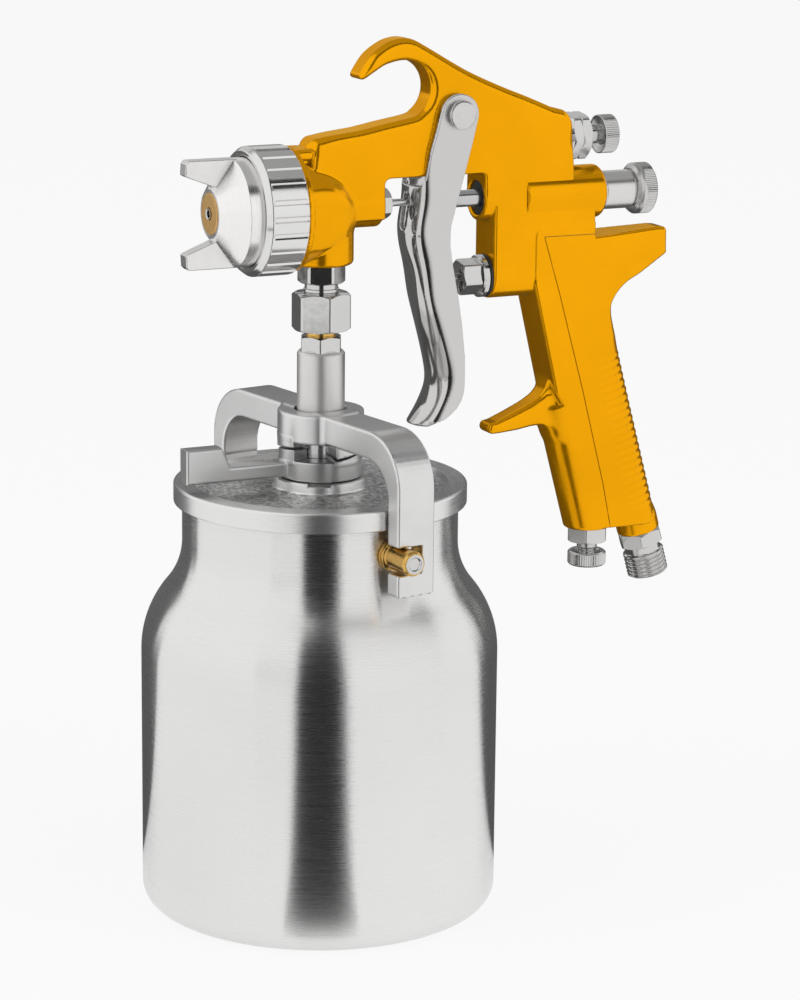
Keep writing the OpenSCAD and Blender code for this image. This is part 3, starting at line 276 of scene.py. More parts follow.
class SPRAYGUN_OT_finishes(Operator):
    """Paint, plated and bare metals, rubber and packing"""
    bl_idname = "spraygun.finishes"
    bl_label = "Finishes"

    def execute(self, context):
        look, metals = context.scene.gun_paint, context.scene.gun_metal
        colour, rough = tuple(look.colour), look.roughness
        paint = Nodes("paint")
        paint.put(Metallic=look.metallic, Coat_Weight=0.02, Coat_Roughness=0.1, Specular_IOR_Level=0.2,
                  Specular_Tint=(1.0, 0.78, 0.0, 1))
        slow = paint.between(paint.noise(35, 3), 0, 1)
        paint.feed(Base_Color=paint.shades(slow, tint(colour, 0.95), tint(colour, 1.04)),
                   Roughness=paint.between(paint.noise(160, 4), rough - 0.03, rough + 0.04),
                   Normal=paint.bump(paint.noise(420, 2, 0.5), 0.000006, 0.5))

        nickel, aluminium, brass = tuple(metals.nickel), tuple(metals.aluminium), tuple(metals.brass)
        metal("nickel", nickel, 0.14, 0.03, 700, 0.0000008, 0.04)
        metal("steel", (0.58, 0.58, 0.58), 0.2, 0.05, 700, 0.000001, 0.05)
        metal("pin", (0.66, 0.65, 0.64), 0.3, 0.04, 900, 0.0000008)
        metal("horn", (0.80, 0.79, 0.78), 0.26, 0.04, 300, 0.0000003, 0.03)
        metal("knurl", (0.62, 0.615, 0.605), 0.27, 0.04, 500, 0.0000005, 0.05)
        metal("cap", (0.91, 0.90, 0.89), 0.28, 0.04, 26, 0.000001, 0.04, *TURNING, 0.7)
        metal("ring", (0.76, 0.755, 0.745), 0.17, 0.04, 26, 0.0000006, 0.03, *TURNING, 0.5)
        metal("sleeve", (0.76, 0.75, 0.74), 0.48, 0.04, 26, 0.000003, 0.06, *TURNING, 0.5)
        metal("turned_metal", (0.74, 0.73, 0.72), 0.34, 0.04, 26, 0.000003, 0.06, *TURNING, 0.5)
        metal("cup", aluminium, metals.cup_roughness, 0.06, 34, 0.000006, 0.06, (0.5, 60, 1), "UV", 1.0)
        metal("cast", tint(aluminium, 0.93), 0.32, 0.05, 900, 0.0000004, 0.012)
        metal("lever", tint(aluminium, 0.78), 0.32, 0.05, 900, 0.0000004, 0.012)
        metal("brass", brass, 0.2, 0.08, 800, 0.000001)
        metal("brass_plain", (0.80, 0.50, 0.19), 0.42, 0.05, 900, 0.000001)

        # The lid's sunk floor: as high as the floor or lower, and facing up
        lid = metal("lid", aluminium, 0.3, 0.07, 34, 0.00001, 0.08, (0.6, 60, 1), "UV", 0.3)
        height = lid.apart("ShaderNodeTexCoord", "Object")
        facing = lid.apart("ShaderNodeNewGeometry", "True Normal")
        floor = LID_FLOOR * MM
        sunk = lid.times(lid.between(height["Z"], 1, 0.06, floor + 0.0003, floor + 0.0009),
                         lid.between(facing["Z"], 0, 1, 0.7, 0.9))
        pebbles = lid.noise(850, 2, 0.5)
        # Painted shade: the low places of the grain in the sunk floor darken to 0.45 of the aluminium colour
        shaded_pits = lid.times(sunk, lid.between(pebbles, 1, 0, 0.42, 0.6))
        lid.feed(Base_Color=lid.shades(shaded_pits, aluminium, tint(aluminium, 0.45)),
                 Normal=lid.bump(pebbles, 0.0005, sunk))

        # The trigger's cheeks are satin, its web is polished
        press = Nodes("trigger")
        side = press.add("ShaderNodeMath", operation="ABSOLUTE")
        press.link(press.apart("ShaderNodeTexCoord", "Object")["Y"], side.inputs[0])
        cheek = press.between(side.outputs["Value"], 0, 1, 0.0079, 0.0083)
        dents = press.between(cheek, 0.1, 0.6, 0, 1)
        press.put(Metallic=1.0)
        press.feed(Base_Color=press.shades(cheek, (0.60, 0.59, 0.58), (0.64, 0.63, 0.62)),
                   Roughness=press.between(cheek, 0.1, 0.34, 0, 1),
                   Normal=press.bump(press.noise(2400, 3, 0.6), 0.00001, dents))

        for key, colour, rough in (("rubber", (0.018, 0.018, 0.02), 0.55),
                                   ("packing", (0.78, 0.76, 0.70), 0.6)):
            soft = Nodes(key)
            grain = soft.noise(900, 4)
            soft.feed(Base_Color=soft.shades(soft.between(grain, 0, 1), tint(colour, 0.8), tint(colour, 1.2)),
                      Roughness=soft.between(grain, rough - 0.08, rough + 0.08),
                      Normal=soft.bump(grain, 0.00003, 0.5))
        return {"FINISHED"}


# Meshes

def place(name, points, faces, body, material, nodes=(), uv=None, normals=None, sharp=38.0):
    """A piece made of points in mm and faces: smooth, with edges over the sharp angle kept, or with the given
    normals of the faces' corners. It rides on a body and stands for the nodes named."""
    mesh = bpy.data.meshes.new(name)
    mesh.from_pydata((points * MM).tolist(), [], faces)
    mesh.shade_smooth()
    if uv is not None:
        layer = mesh.uv_layers.new(name="UVMap")
        layer.data.foreach_set("uv", uv.astype(np.float32).ravel())
    if normals is None:
        mesh.set_sharp_from_angle(angle=math.radians(sharp))
    else:
        mesh.normals_split_custom_set(normals.tolist())
    obj = bpy.data.objects.new(name, mesh)
    bpy.context.scene.collection.objects.link(obj)
    mesh.materials.append(MATERIALS[material])
    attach(obj, body)
    if nodes:
        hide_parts(*nodes)
    return obj


def volume(points, faces):
    """Signed volume: each face's fan of triangles against the origin, summed."""
    total = 0.0
    for size in (3, 4):
        group = np.array([f for f in faces if len(f) == size])
        if len(group):
            for k in range(1, size - 1):
                a, b, c = points[group[:, 0]], points[group[:, k]], points[group[:, k + 1]]
                total += np.einsum("ij,ij->", a, np.cross(b, c))
    return total


# Half the angle, in radians, from which a corner of a path counts as straight
NEARLY_STRAIGHT = 1.52


def fillet(corners, steps=4):
    """A path through rows of [radius, height, corner radius], each inner corner turned into an arc: the
    corner is cut at the arc's tangent points, and a support point stands a little before and after, so
    that flats stay flat when shaded."""
    rows = np.asarray(corners, float)
    p, radii = rows[:, :2], rows[:, 2]
    out = [p[0]]
    for i in range(1, len(p) - 1):
        before, here, after, r = p[i - 1], p[i], p[i + 1], radii[i]
        u, v = before - here, after - here
        lu, lv = np.hypot(*u), np.hypot(*v)
        u, v = u / lu, v / lv
        half = math.acos(np.clip(u @ v, -1, 1)) / 2
        if r <= 0 or half > NEARLY_STRAIGHT:
            out.append(here)
            continue
        cut = min(r / math.tan(half), 0.46 * lu, 0.46 * lv)
        support = min(0.35 * cut, 0.04 * min(lu, lv))
        r = cut * math.tan(half)
        middle = here + (u + v) / np.hypot(*(u + v)) * r / math.sin(half)
        start, end = here + u * cut - middle, here + v * cut - middle
        a = math.atan2(start[1], start[0])
        turn = (math.atan2(end[1], end[0]) - a + math.pi) % (2 * math.pi) - math.pi
        t = a + turn * np.linspace(0, 1, steps + 1)
        arc_points = middle + r * np.stack([np.cos(t), np.sin(t)], 1)
        out += [here + u * (cut + support), *arc_points, here + v * (cut + support)]
    out.append(p[-1])
    return np.array(out)


def dense(points, step):
    """The same path with every stretch longer than step divided evenly."""
    p = np.asarray(points, float)
    parts = [p[:1]]
    for a, b in zip(p[:-1], p[1:]):
        n = max(1, math.ceil(np.hypot(*(b - a)) / step))
        parts.append(a + (b - a) * (np.arange(1, n + 1) / n)[:, None])
    return np.concatenate(parts)


def arc(middle, r, a, b, steps=8):
    """Points of a circle's arc from angle a to b in degrees."""
    t = np.radians(np.linspace(a, b, steps + 1))
    return [(middle[0] + r * c, middle[1] + r * s) for c, s in zip(np.cos(t), np.sin(t))]


def curve(points, steps=4):
    """A smooth path through points: Catmull-Rom cubics, each span divided into steps."""
    p = np.asarray(points, float)
    q = np.concatenate([2 * p[:1] - p[1:2], p, 2 * p[-1:] - p[-2:-1]])
    t = (np.arange(steps) / steps)[None, :, None]
    a, b, c, d = (q[k:len(q) - 3 + k, None] for k in range(4))
    second, third = 2 * a - 5 * b + 4 * c - d, 3 * b - a - 3 * c + d
    spans = 0.5 * (2 * b + (c - a) * t + second * t ** 2 + third * t ** 3)
    return [*map(tuple, spans.reshape(-1, 2)), tuple(p[-1])]


def ease(t):
    """Smooth step from 0 to 1 as t goes from 0 to 1."""
    t = np.clip(t, 0, 1)
    return t * t * (3 - 2 * t)


def turned(name, profile, origin, axis, body, slot, material, nodes=(), columns=96, hexagon=None,
           wave=None, sharp=38.0, angles=None):
    """A turned piece: the profile's [radius, height] carried round an axis through the origin, at even
    angles or at those given. A profile that starts at radius 0 closes in a pole at both ends, and any other
    closes on itself. hexagon = (across flats, turn, from, to) cuts rows of that height down to six flats,
    r = min(r, af / 2 / cos phi). wave(theta, radius, height) gives the radius and height added to a point."""
    prof = np.asarray(profile, float)
    a = np.asarray(axis, float)
    a = a / np.linalg.norm(a)
    u = AFT if abs(a[2]) > 0.9 else UP
    u = u - a * (u @ a)
    u = u / np.linalg.norm(u)
    v = np.cross(a, u)
    start = math.radians(hexagon[1]) if hexagon else 0.0
    theta = start + np.arange(columns) * 2 * math.pi / columns if angles is None else angles
    columns = len(theta)
    r = np.repeat(prof[:, :1], columns, 1)
    h = np.repeat(prof[:, 1:], columns, 1)
    if hexagon:
        flats, _, low, high = hexagon
        phi = (theta - start + 1e-9) % (math.pi / 3) - math.pi / 6
        six = np.minimum(flats / 2 / np.cos(phi), flats / math.sqrt(3) - 0.012 * flats)
        rows = (prof[:, 1] > low - 1e-6) & (prof[:, 1] < high + 1e-6)
        r[rows] = np.minimum(r[rows], six)
    if wave is not None:
        dr, dh = wave(theta[None, :], r, h)
        r, h = r + dr, h + dh
    grid = (np.asarray(origin, float) + a * h[..., None]
            + r[..., None] * (u * np.cos(theta)[:, None] + v * np.sin(theta)[:, None]))
    points = grid.reshape(-1, 3)
    index = np.arange(len(points)).reshape(len(prof), columns)
    along = np.concatenate([[0], np.cumsum(np.hypot(*np.diff(prof, axis=0).T))]) / 100
    poles = prof[0, 0] < 1e-6
    if poles:
        below, above, row_low, row_high = index[:-1], index[1:], along[:-1], along[1:]
    else:
        below, above = index, np.roll(index, -1, 0)
        row_low, row_high = along, np.append(along[1:], along[-1] + 0.01)
    side = np.roll(np.arange(columns), -1)
    quads = np.stack([below, below[:, side], above[:, side], above], -1).reshape(-1, 4)
    share = np.arange(columns) / columns
    uv = np.empty((len(row_low), columns, 4, 2))
    uv[..., 0] = np.stack([share, share + 1 / columns, share + 1 / columns, share], -1)
    uv[..., 1] = np.stack([row_low, row_low, row_high, row_high], -1)[:, None]
    uv = uv.reshape(-1, 4, 2)
    if poles:
        low_fan = np.stack([np.full(columns, index[0, 0]), index[1, side], index[1]], -1)
        high_fan = np.stack([index[-2], index[-2, side], np.full(columns, index[-1, 0])], -1)
        fan_uv = np.repeat(np.stack([share, np.zeros(columns)], -1), 3, 0)
        keep = np.ones(len(points), bool)
        keep[index[0, 1:]] = keep[index[-1, 1:]] = False
        number = np.cumsum(keep) - 1
        points = points[keep]
        faces = []
        for group in (low_fan, quads[columns:-columns], high_fan):
            faces += number[group].tolist()
        loops = np.concatenate([fan_uv, uv[columns:-columns].reshape(-1, 2), fan_uv])
    else:
        faces, loops = quads.tolist(), uv.reshape(-1, 2)
    if volume(points, faces) < 0:
        sizes = np.array([len(f) for f in faces])
        starts = np.cumsum(sizes) - sizes
        order = np.concatenate([np.arange(s + n - 1, s - 1, -1) for s, n in zip(starts, sizes)])
        faces = [f[::-1] for f in faces]
        loops = loops[order]
    return place(name, points, faces, body, material, nodes, loops, sharp=sharp)


def nut_profile(flats, low, high, bore, chamfer_low=True, chamfer_high=True):
    """Half section of a hexagon nut: a bored bar whose corners are turned off at 30 degrees."""
    corner, flat = flats / math.sqrt(3), flats / 2
    cut = (corner - flat) * 0.62
    rows = np.linspace(0, 1, 9)
    below, above = [(corner, low)], [(corner, high)]
    if chamfer_low:
        below = [(flat + (corner - flat) * t, low + cut * t) for t in rows]
    if chamfer_high:
        above = [(flat + (corner - flat) * t, high - cut * t) for t in rows[::-1]]
    return [(bore, low), *below, *above, (bore, high)]


def nut(name, flats, turn, low, high, bore, at, axis, nodes=(), ends=(True, True), body="gun", columns=144):
    """A plated hexagon nut from low to high along an axis, with the ends chosen turned off."""
    turned(name, nut_profile(flats, low, high, bore, *ends), at, axis, body, "nickel", "nickel", nodes,
           columns, (flats, turn, low, high))


def knurl(r_band, low, high, pitch, depth):
    """Straight knurl: teeth round the band cut its radius by depth times a triangle wave of the angle."""
    teeth = max(12, round(2 * math.pi * r_band / pitch))

    def wave(theta, r, h):
        tooth = np.abs(((theta * teeth / (2 * math.pi)) % 1) * 2 - 1)
        band = ((r > r_band - 0.02) & (h > low) & (h < high)).astype(float)
        return -depth * band * tooth, 0 * r
    return {"columns": teeth * 4, "wave": wave}


def thread(r_outer, low, high, pitch, depth):
    """Screw thread: the radius falls by depth times a cosine wave of height / pitch - angle / turn,
    fading out over half a pitch at both ends."""
    def wave(theta, r, h):
        tooth = 0.5 + 0.5 * np.cos(2 * math.pi * h / pitch - theta)
        ends = np.clip(np.minimum(h - low, high - h) / (0.5 * pitch), 0, 1)
        return -depth * tooth * ends * (np.abs(r - r_outer) < 0.05), 0 * r
    return wave


def smooth_line(knots):
    """A smooth function through [z, x] knots: the natural cubic spline, held level past its ends."""
    k = np.array(sorted(map(tuple, knots)), float)
    z, x = k[:, 0], k[:, 1]
    n, step = len(z), np.diff(z)
    m = np.eye(n)
    rhs = np.zeros(n)
    for i in range(1, n - 1):
        m[i, i - 1:i + 2] = step[i - 1], 2 * (step[i - 1] + step[i]), step[i]
        rhs[i] = 6 * ((x[i + 1] - x[i]) / step[i] - (x[i] - x[i - 1]) / step[i - 1])
    bend = np.linalg.solve(m, rhs)

    def at(value):
        q = np.clip(value, z[0], z[-1])
        i = np.clip(np.searchsorted(z, q) - 1, 0, n - 2)
        a, b, d = z[i + 1] - q, q - z[i], step[i]
        return (bend[i] * a ** 3 + bend[i + 1] * b ** 3) / (6 * d) \
            + (x[i] / d - bend[i] * d / 6) * a + (x[i + 1] / d - bend[i + 1] * d / 6) * b
    return at


# Castings as distance fields: each field is below zero inside the piece

def outline(points, x, z):
    """Signed distance to a closed outline: the least distance to its edges, below zero inside."""
    p = np.asarray(points, float)
    shape = np.broadcast(x, z).shape
    best, inside = np.full(shape, 1e9), np.zeros(shape, bool)
    for a, b in zip(p, np.roll(p, -1, 0)):
        e = b - a
        if not e.any():
            continue
        wx, wz = x - a[0], z - a[1]
        t = np.clip((wx * e[0] + wz * e[1]) / (e @ e), 0, 1)
        best = np.minimum(best, (wx - e[0] * t) ** 2 + (wz - e[1] * t) ** 2)
        if e[1]:
            inside ^= ((a[1] <= z) != (b[1] <= z)) & (x < a[0] + wz * e[0] / e[1])
    return np.where(inside, -1.0, 1.0) * np.sqrt(best)


def both(a, b, r):
    """What two fields share, with the edge between them rounded to radius r."""
    return np.minimum(np.maximum(a, b), -r) + np.hypot(np.maximum(a + r, 0), np.maximum(b + r, 0))


def join(a, b, r):
    """Two fields together, with the inner corner between them filled to radius r."""
    return np.maximum(np.minimum(a, b), r) - np.hypot(np.maximum(r - a, 0), np.maximum(r - b, 0))


def bar(distance, along, low, high, r):
    """A section's distance field cut to a length, its end edges rounded to radius r."""
    return both(distance, np.maximum(low - along, along - high), r)


def lean_axis(foot, x, y, z):
    """Distance from a leaning tube's axis, the way along it from its foot, and the way behind it."""
    dx, dz = x - foot[0], z - foot[2] + SPRAY_Z
    along = dx * LEAN[0] + dz * LEAN[2]
    side = dx * LEAN[2] - dz * LEAN[0]
    return np.hypot(side, y), along, side


def net(field, low, high, step, creases=()):
    """Closed surface where a field is zero. One point stands in each cell of a grid that the surface
    crosses, at the mean of the crossings on the cell's edges, one quad closes round each crossed grid edge,
    and three Newton steps along the field's slope put the points on the surface. A crease gives two fields
    that meet at a sharp edge: points near both are put on both, and each face there keeps its own slope."""
    axes = [np.arange(l - 1.37 * step, h + 2 * step, step) for l, h in zip(low, high)]
    grids = [axes[0][:, None, None], axes[1][None, :, None], axes[2][None, None, :]]
    value = np.broadcast_to(field(*grids), [len(k) for k in axes])
    inside = value < 0
    cells = np.array(value.shape) - 1
    total, count = np.zeros((*cells, 3)), np.zeros(cells)
    edges = []
    for d in range(3):
        lo = tuple(slice(0, -1) if k == d else slice(None) for k in range(3))
        hi = tuple(slice(1, None) if k == d else slice(None) for k in range(3))
        at = np.argwhere(inside[lo] != inside[hi])
        v0 = value[lo][tuple(at.T)]
        v1 = value[hi][tuple(at.T)]
        cross = at.astype(float)
        cross[:, d] += v0 / (v0 - v1)
        e, f = [k for k in range(3) if k != d]
        ok = (at[:, e] > 0) & (at[:, f] > 0) & (at[:, e] < cells[e]) & (at[:, f] < cells[f])
        at, cross, v0 = at[ok], cross[ok], v0[ok]
        ring = []
        for de, df in ((-1, -1), (0, -1), (0, 0), (-1, 0)):
            cell = at.copy()
            cell[:, e] += de
            cell[:, f] += df
            flat = np.ravel_multi_index(cell.T, cells)
            np.add.at(total.reshape(-1, 3), flat, cross)
            np.add.at(count.reshape(-1), flat, 1)
            ring.append(flat)
        ring = np.stack(ring, 1)
        flip = (v0 < 0) == (d == 1)
        ring[flip] = ring[flip, ::-1]
        edges.append(ring)
    used, faces = np.unique(np.concatenate(edges), return_inverse=True)
    faces = faces.reshape(-1, 4)
    origin = np.array([k[0] for k in axes])
    points = origin + step * total.reshape(-1, 3)[used] / count.reshape(-1)[used][:, None]
    small = 0.02 * step

    def slope(p, of=field):
        shifts = np.eye(3) * small
        return np.stack([(of(*(p + k).T) - of(*(p - k).T)) / (2 * small) for k in shifts], -1)

    def held(move):
        size = np.linalg.norm(move, axis=1, keepdims=True)
        return move * np.minimum(1, 0.4 * step / np.maximum(size, 1e-9))
    for _ in range(3):
        g = slope(points)
        points = points - held(field(*points.T)[:, None] * g / np.maximum((g * g).sum(1), 0.05)[:, None])
    sharp = np.zeros(len(points), bool)
    for crease in creases:
        near = (np.abs(crease(*points.T)) < 0.8 * step).all(0)
        at = points[near]
        for _ in range(4):
            (f, g), (a, b) = crease(*at.T), slope(at, crease)
            aa, ab, bb = (a * a).sum(1), (a * b).sum(1), (b * b).sum(1)
            area = np.maximum(aa * bb - ab * ab, 0.05)
            along_a, along_b = (f * bb - g * ab) / area, (g * aa - f * ab) / area
            at = at - held(a * along_a[:, None] + b * along_b[:, None])
        points[near] = at
        sharp |= near
    normals = slope(points)[faces]
    corners = points[faces]
    edge = sharp[faces]
    normals[edge] = slope((corners + 0.3 * (corners.mean(1, keepdims=True) - corners))[edge])
    normals /= np.maximum(np.linalg.norm(normals, axis=2, keepdims=True), 1e-9)
    if volume(points, faces.tolist()) < 0:
        faces, normals = faces[:, ::-1], normals[:, ::-1]
    return points, faces.tolist(), normals.reshape(-1, 3)


# Gun casting, in X and height from the spray axis

HOOK = (25.4, 34.6)
PLATE = ([(-5.9, -4)] + arc((-2.4, 17.9), 3.5, 180, 96, 8)
         + curve([(-2.3, 21.4), (0.7, 21.9), (3.9, 22.3), (7.2, 22.7), (10.5, 23.1), (14.5, 23.8),
                  (18.5, 24.6), (22, 25.2)]
                 + arc(HOOK, 8.8, -68, 92, 10)
                 + [(22.4, 43.1), (19.1, 42.2), (16.8, 41.0), (14.6, 39.7), (12.8, 38.6), (11.5, 38.1),
                    (10.7, 38.6), (10.8, 39.8), (11.6, 41.2), (12.9, 43.2), (14.5, 45.2), (16.3, 46.7),
                    (18.3, 48.0), (20.2, 49.0), (22.1, 49.6), (24.4, 50.0), (26.6, 49.9), (28.8, 49.3),
                    (31.5, 47.9), (35, 45.9), (45.9, 39.7), (56.9, 34.7), (67.5, 30.5), (75.2, 27.2)])
         + arc((75.9, 20.7), 6.4, 60, 0, 12) + [(82.4, -8), (55.6, -8), (55.6, 0), (51.6, 0)]
         + arc((50.6, 7.3), 1.0, 0, 90, 5) + arc((20.2, 6.3), 2.0, 90, 180, 6) + [(18.2, -4)])
BLOCK_FOOT = -VALVE_DROP - 1.5
BLOCK = [(55, 6), (55, BLOCK_FOOT), (70, BLOCK_FOOT), (80, -40), (90, -40), (90, -3), (80, -3), (80, 6)]
HANDLE = ([(68.9, -13)] + arc((71.6, -11.8), 2.6, 180, 92, 6)
          + [(90, -8.9), (90, -13.4), (101, -12.7), (113.3, -11.9)] + arc((115.5, -13.5), 1.4, 85, 0, 4)
          + curve([(117.0, -19.6), (116.4, -20.9), (107.8, -25.6), (102.2, -28.2), (99.1, -30.6),
                   (97.3, -33.0), (96.4, -35.3), (96.8, -38.5), (98.0, -41.8), (99.3, -45), (100.4, -48.3),
                   (101.4, -51.5)])
          + [(105.4, -66.3), (115.9, -104), (119.9, -118.5), (93, -118.5), (90.6, -100), (82.2, -70),
             (77.2, -62), (68.9, -27)])
SPUR = (curve([(84, -56), (78.6, -58), (76.3, -59.6), (74.9, -61.6), (73.0, -63.6), (69.5, -65.6),
               (64.2, -67.9), (58.6, -70.3)])
        + arc((57.3, -72.3), 1.75, 118, 262, 8)
        + curve([(59.5, -74.0), (65, -73.6), (71, -72.6), (74.6, -72.8), (76.6, -74.2), (78.2, -77),
                 (82, -79)]))
DOME = [(-11, 0), (-11, 16.4)] + curve([(-10.6, 16.2), (-7, 14.9), (-3.3, 14.1), (0, 13.1), (3.6, 11.2),
                                        (6.3, 8.9), (8.2, 7.4), (9.2, 5.8), (9.9, 3), (10.1, 0)])
DOME_DROP, DOME_TAPER = 1.6, 0.28
NECK = [(-11.5, 13.5), (-11.5, 18.4), (-6.6, 18.4), (-4.6, 20.2), (-3, 20.2), (-3, 13.5)]
HANDLE_HALF, HANDLE_FOOT, TUBE_FOOT = 7.3, -107.2, -107.6
REAR_TUBE_R = 6.8
RIBBED = 51.0
# Behind this line lies the rear part of the handle, parted from the front by a fine seam
REAR_PART = [(71.9, -12.3), (90.25, -12.4), (90.25, -10.4), (140, -10.4), (140, -140), (99.4, -140),
             (97.6, -107.4), (94.6, -93), (86.5, -61.9), (77.6, -30.6)]
SEAM_GAP = 0.14


def casting(edge, ribs, rib_rise):
    """The pistol casting's field: a drafted plate with its hook, the lower block, handle, spur and tubes as
    rounded slabs, and the dome, bosses and nose as bodies of revolution, joined with filled corners. The
    second function gives the two fields that meet at the foot of the fluid control's boss."""
    def grip(x, y, z):
        """Handle slab, thinner at the beak and round at its ribbed back, with both tubes and the spur."""
        flat = np.abs(y)
        r_rear, up_rear, behind = lean_axis(REAR_FOOT, x, y, z)
        beak = ease((x - 92) / 26) * ease((z + 34) / 14)
        back = ease((behind + 1) / 2) * ease((80 - up_rear) / 22)
        slab = both(outline(HANDLE, x, z), flat - HANDLE_HALF + 2.6 * beak, 1.0 + 0.6 * beak + 5.5 * back)
        slab = both(slab, HANDLE_FOOT - z, 0.8)
        r_front, up_front, _ = lean_axis(FRONT_FOOT, x, y, z)
        front_tube = both(bar(r_front - HANDLE_HALF, up_front, -6, 44, 1.2), TUBE_FOOT - z, 0.8)
        sink = 1.2 * ease((up_rear - 4) / 8)
        rear_tube = both(both(r_rear - REAR_TUBE_R + sink, -up_rear, 0.6), up_rear - 60, 3)
        wave = 0.5 + 0.5 * np.cos(2 * math.pi * (up_rear - 9) / (RIBBED / ribs))
        reach = ease((up_rear - 8.5) / 2) * ease((61.5 - up_rear) / 2)
        rib = rib_rise * (wave - 0.45) * reach * ease((behind + 7.5) / 5.5)
        slab = np.minimum(np.minimum(slab, front_tube), rear_tube) - rib
        spur_half = 4.9 - 0.06 * np.clip(72 - x, 0, 20)
        spur = both(outline(SPUR, x, z), flat - spur_half, np.interp(x, [57, 64], [1.3, 2.2]))
        return join(slab, spur, 2.2)

    def parts(x, y, z):
        """Body without the fluid control's boss, that boss, and the bore that the carrier runs in."""
        flat, spray_r = np.abs(y), np.hypot(y, z)
        draft = np.interp(z, [0, 8.3, 52], [7.0, 6.6, 4.9])
        round_off = edge * np.interp(z, [9, 17], [0.42, 1.0]) * np.interp(x, [-6, 3], [1.4, 1.0])
        body = both(np.minimum(outline(PLATE, x, z), outline(BLOCK, x, z)), flat - draft, round_off)
        face = (flat - 13.4 + DOME_TAPER * (x + 8)) / math.hypot(1, DOME_TAPER)
        dome = both(outline(DOME, x, np.hypot(y, z + DOME_DROP)), face, 1.6)
        neck = both(outline(NECK, x, z), flat - 3.6, 1.2)
        lug = bar(np.hypot(flat - 4.6, z - 16.7) - 1.7, x, -11, -5.2, 1.2)
        packing_boss = bar(spray_r - 6.8, x, 0, 18.2, 1.3)
        fluid_boss = bar(np.hypot(x, y) - 9.7, z, -17.2, 1, 1.5)
        flange = bar(spray_r - 18.6, x, -12, -10.1, 0.5)
        for piece, fill in ((neck, 0.6), (lug, 0.7), (dome, 0.9), (packing_boss, 0.6), (fluid_boss, 0.5),
                            (flange, 0.5)):
            body = join(body, piece, fill)
        nose = bar(spray_r - 15.9, x, -19.8, -11, 0.4)
        valve = bar(np.hypot(y, z + VALVE_DROP) - 7.0, x, 55, 74, 0.9)
        collar = bar(spray_r - 7.0, x, 51.6, 60, 0.7)
        for piece in (nose, valve, collar):
            body = np.minimum(body, piece)
        boss = both(both(spray_r - 8.3, 65.7 - x, 0.4), x - 93.5, 1.5)
        bore = np.maximum(bar(spray_r - 5.3, x, 40, 66, 0.2), 51 - x)
        return join(body, grip(x, y, z), 0.5), boss, bore

    def field(x, y, z):
        body, boss, bore = parts(x, y, z)
        return both(np.minimum(body, boss), -bore, 0.5)

    def boss_foot(x, y, z):
        return np.stack(parts(x, y, z)[:2])
    return field, boss_foot


class SPRAYGUN_OT_casting(Operator):
    """Painted pistol casting with hook, head, handle and spur, in a front and a rear part at the seam"""
    bl_idname = "spraygun.casting"
    bl_label = "Casting"

    def execute(self, context):
        look = context.scene.gun_paint
        whole, boss_foot = casting(look.edge, look.ribs, look.rib_rise)
        parts = (("casting_front", -1, (-21, -20, -109), (100, 20, 51), 0.62, ("gun_body",)),
                 ("casting_rear", 1, (71, -9, -112), (119, 9, -10), 0.5, ()))
        for name, sign, low, high, step, nodes in parts:
            def seam(x, y, z, sign=sign):
                """The whole casting, and the side of the seam that this part keeps."""
                kept = sign * outline(REAR_PART, x, z) + SEAM_GAP
                return np.stack(np.broadcast_arrays(whole(x, y, z), kept))

            def field(x, y, z, seam=seam):
                return seam(x, y, z).max(0)
            points, faces, normals = net(field, low, high, step, (boss_foot, seam))
            points[:, 2] += SPRAY_Z
            obj = place(name, points, faces, "gun", "paint", nodes, normals=normals)
            obj.visible_glossy = False
        return {"FINISHED"}


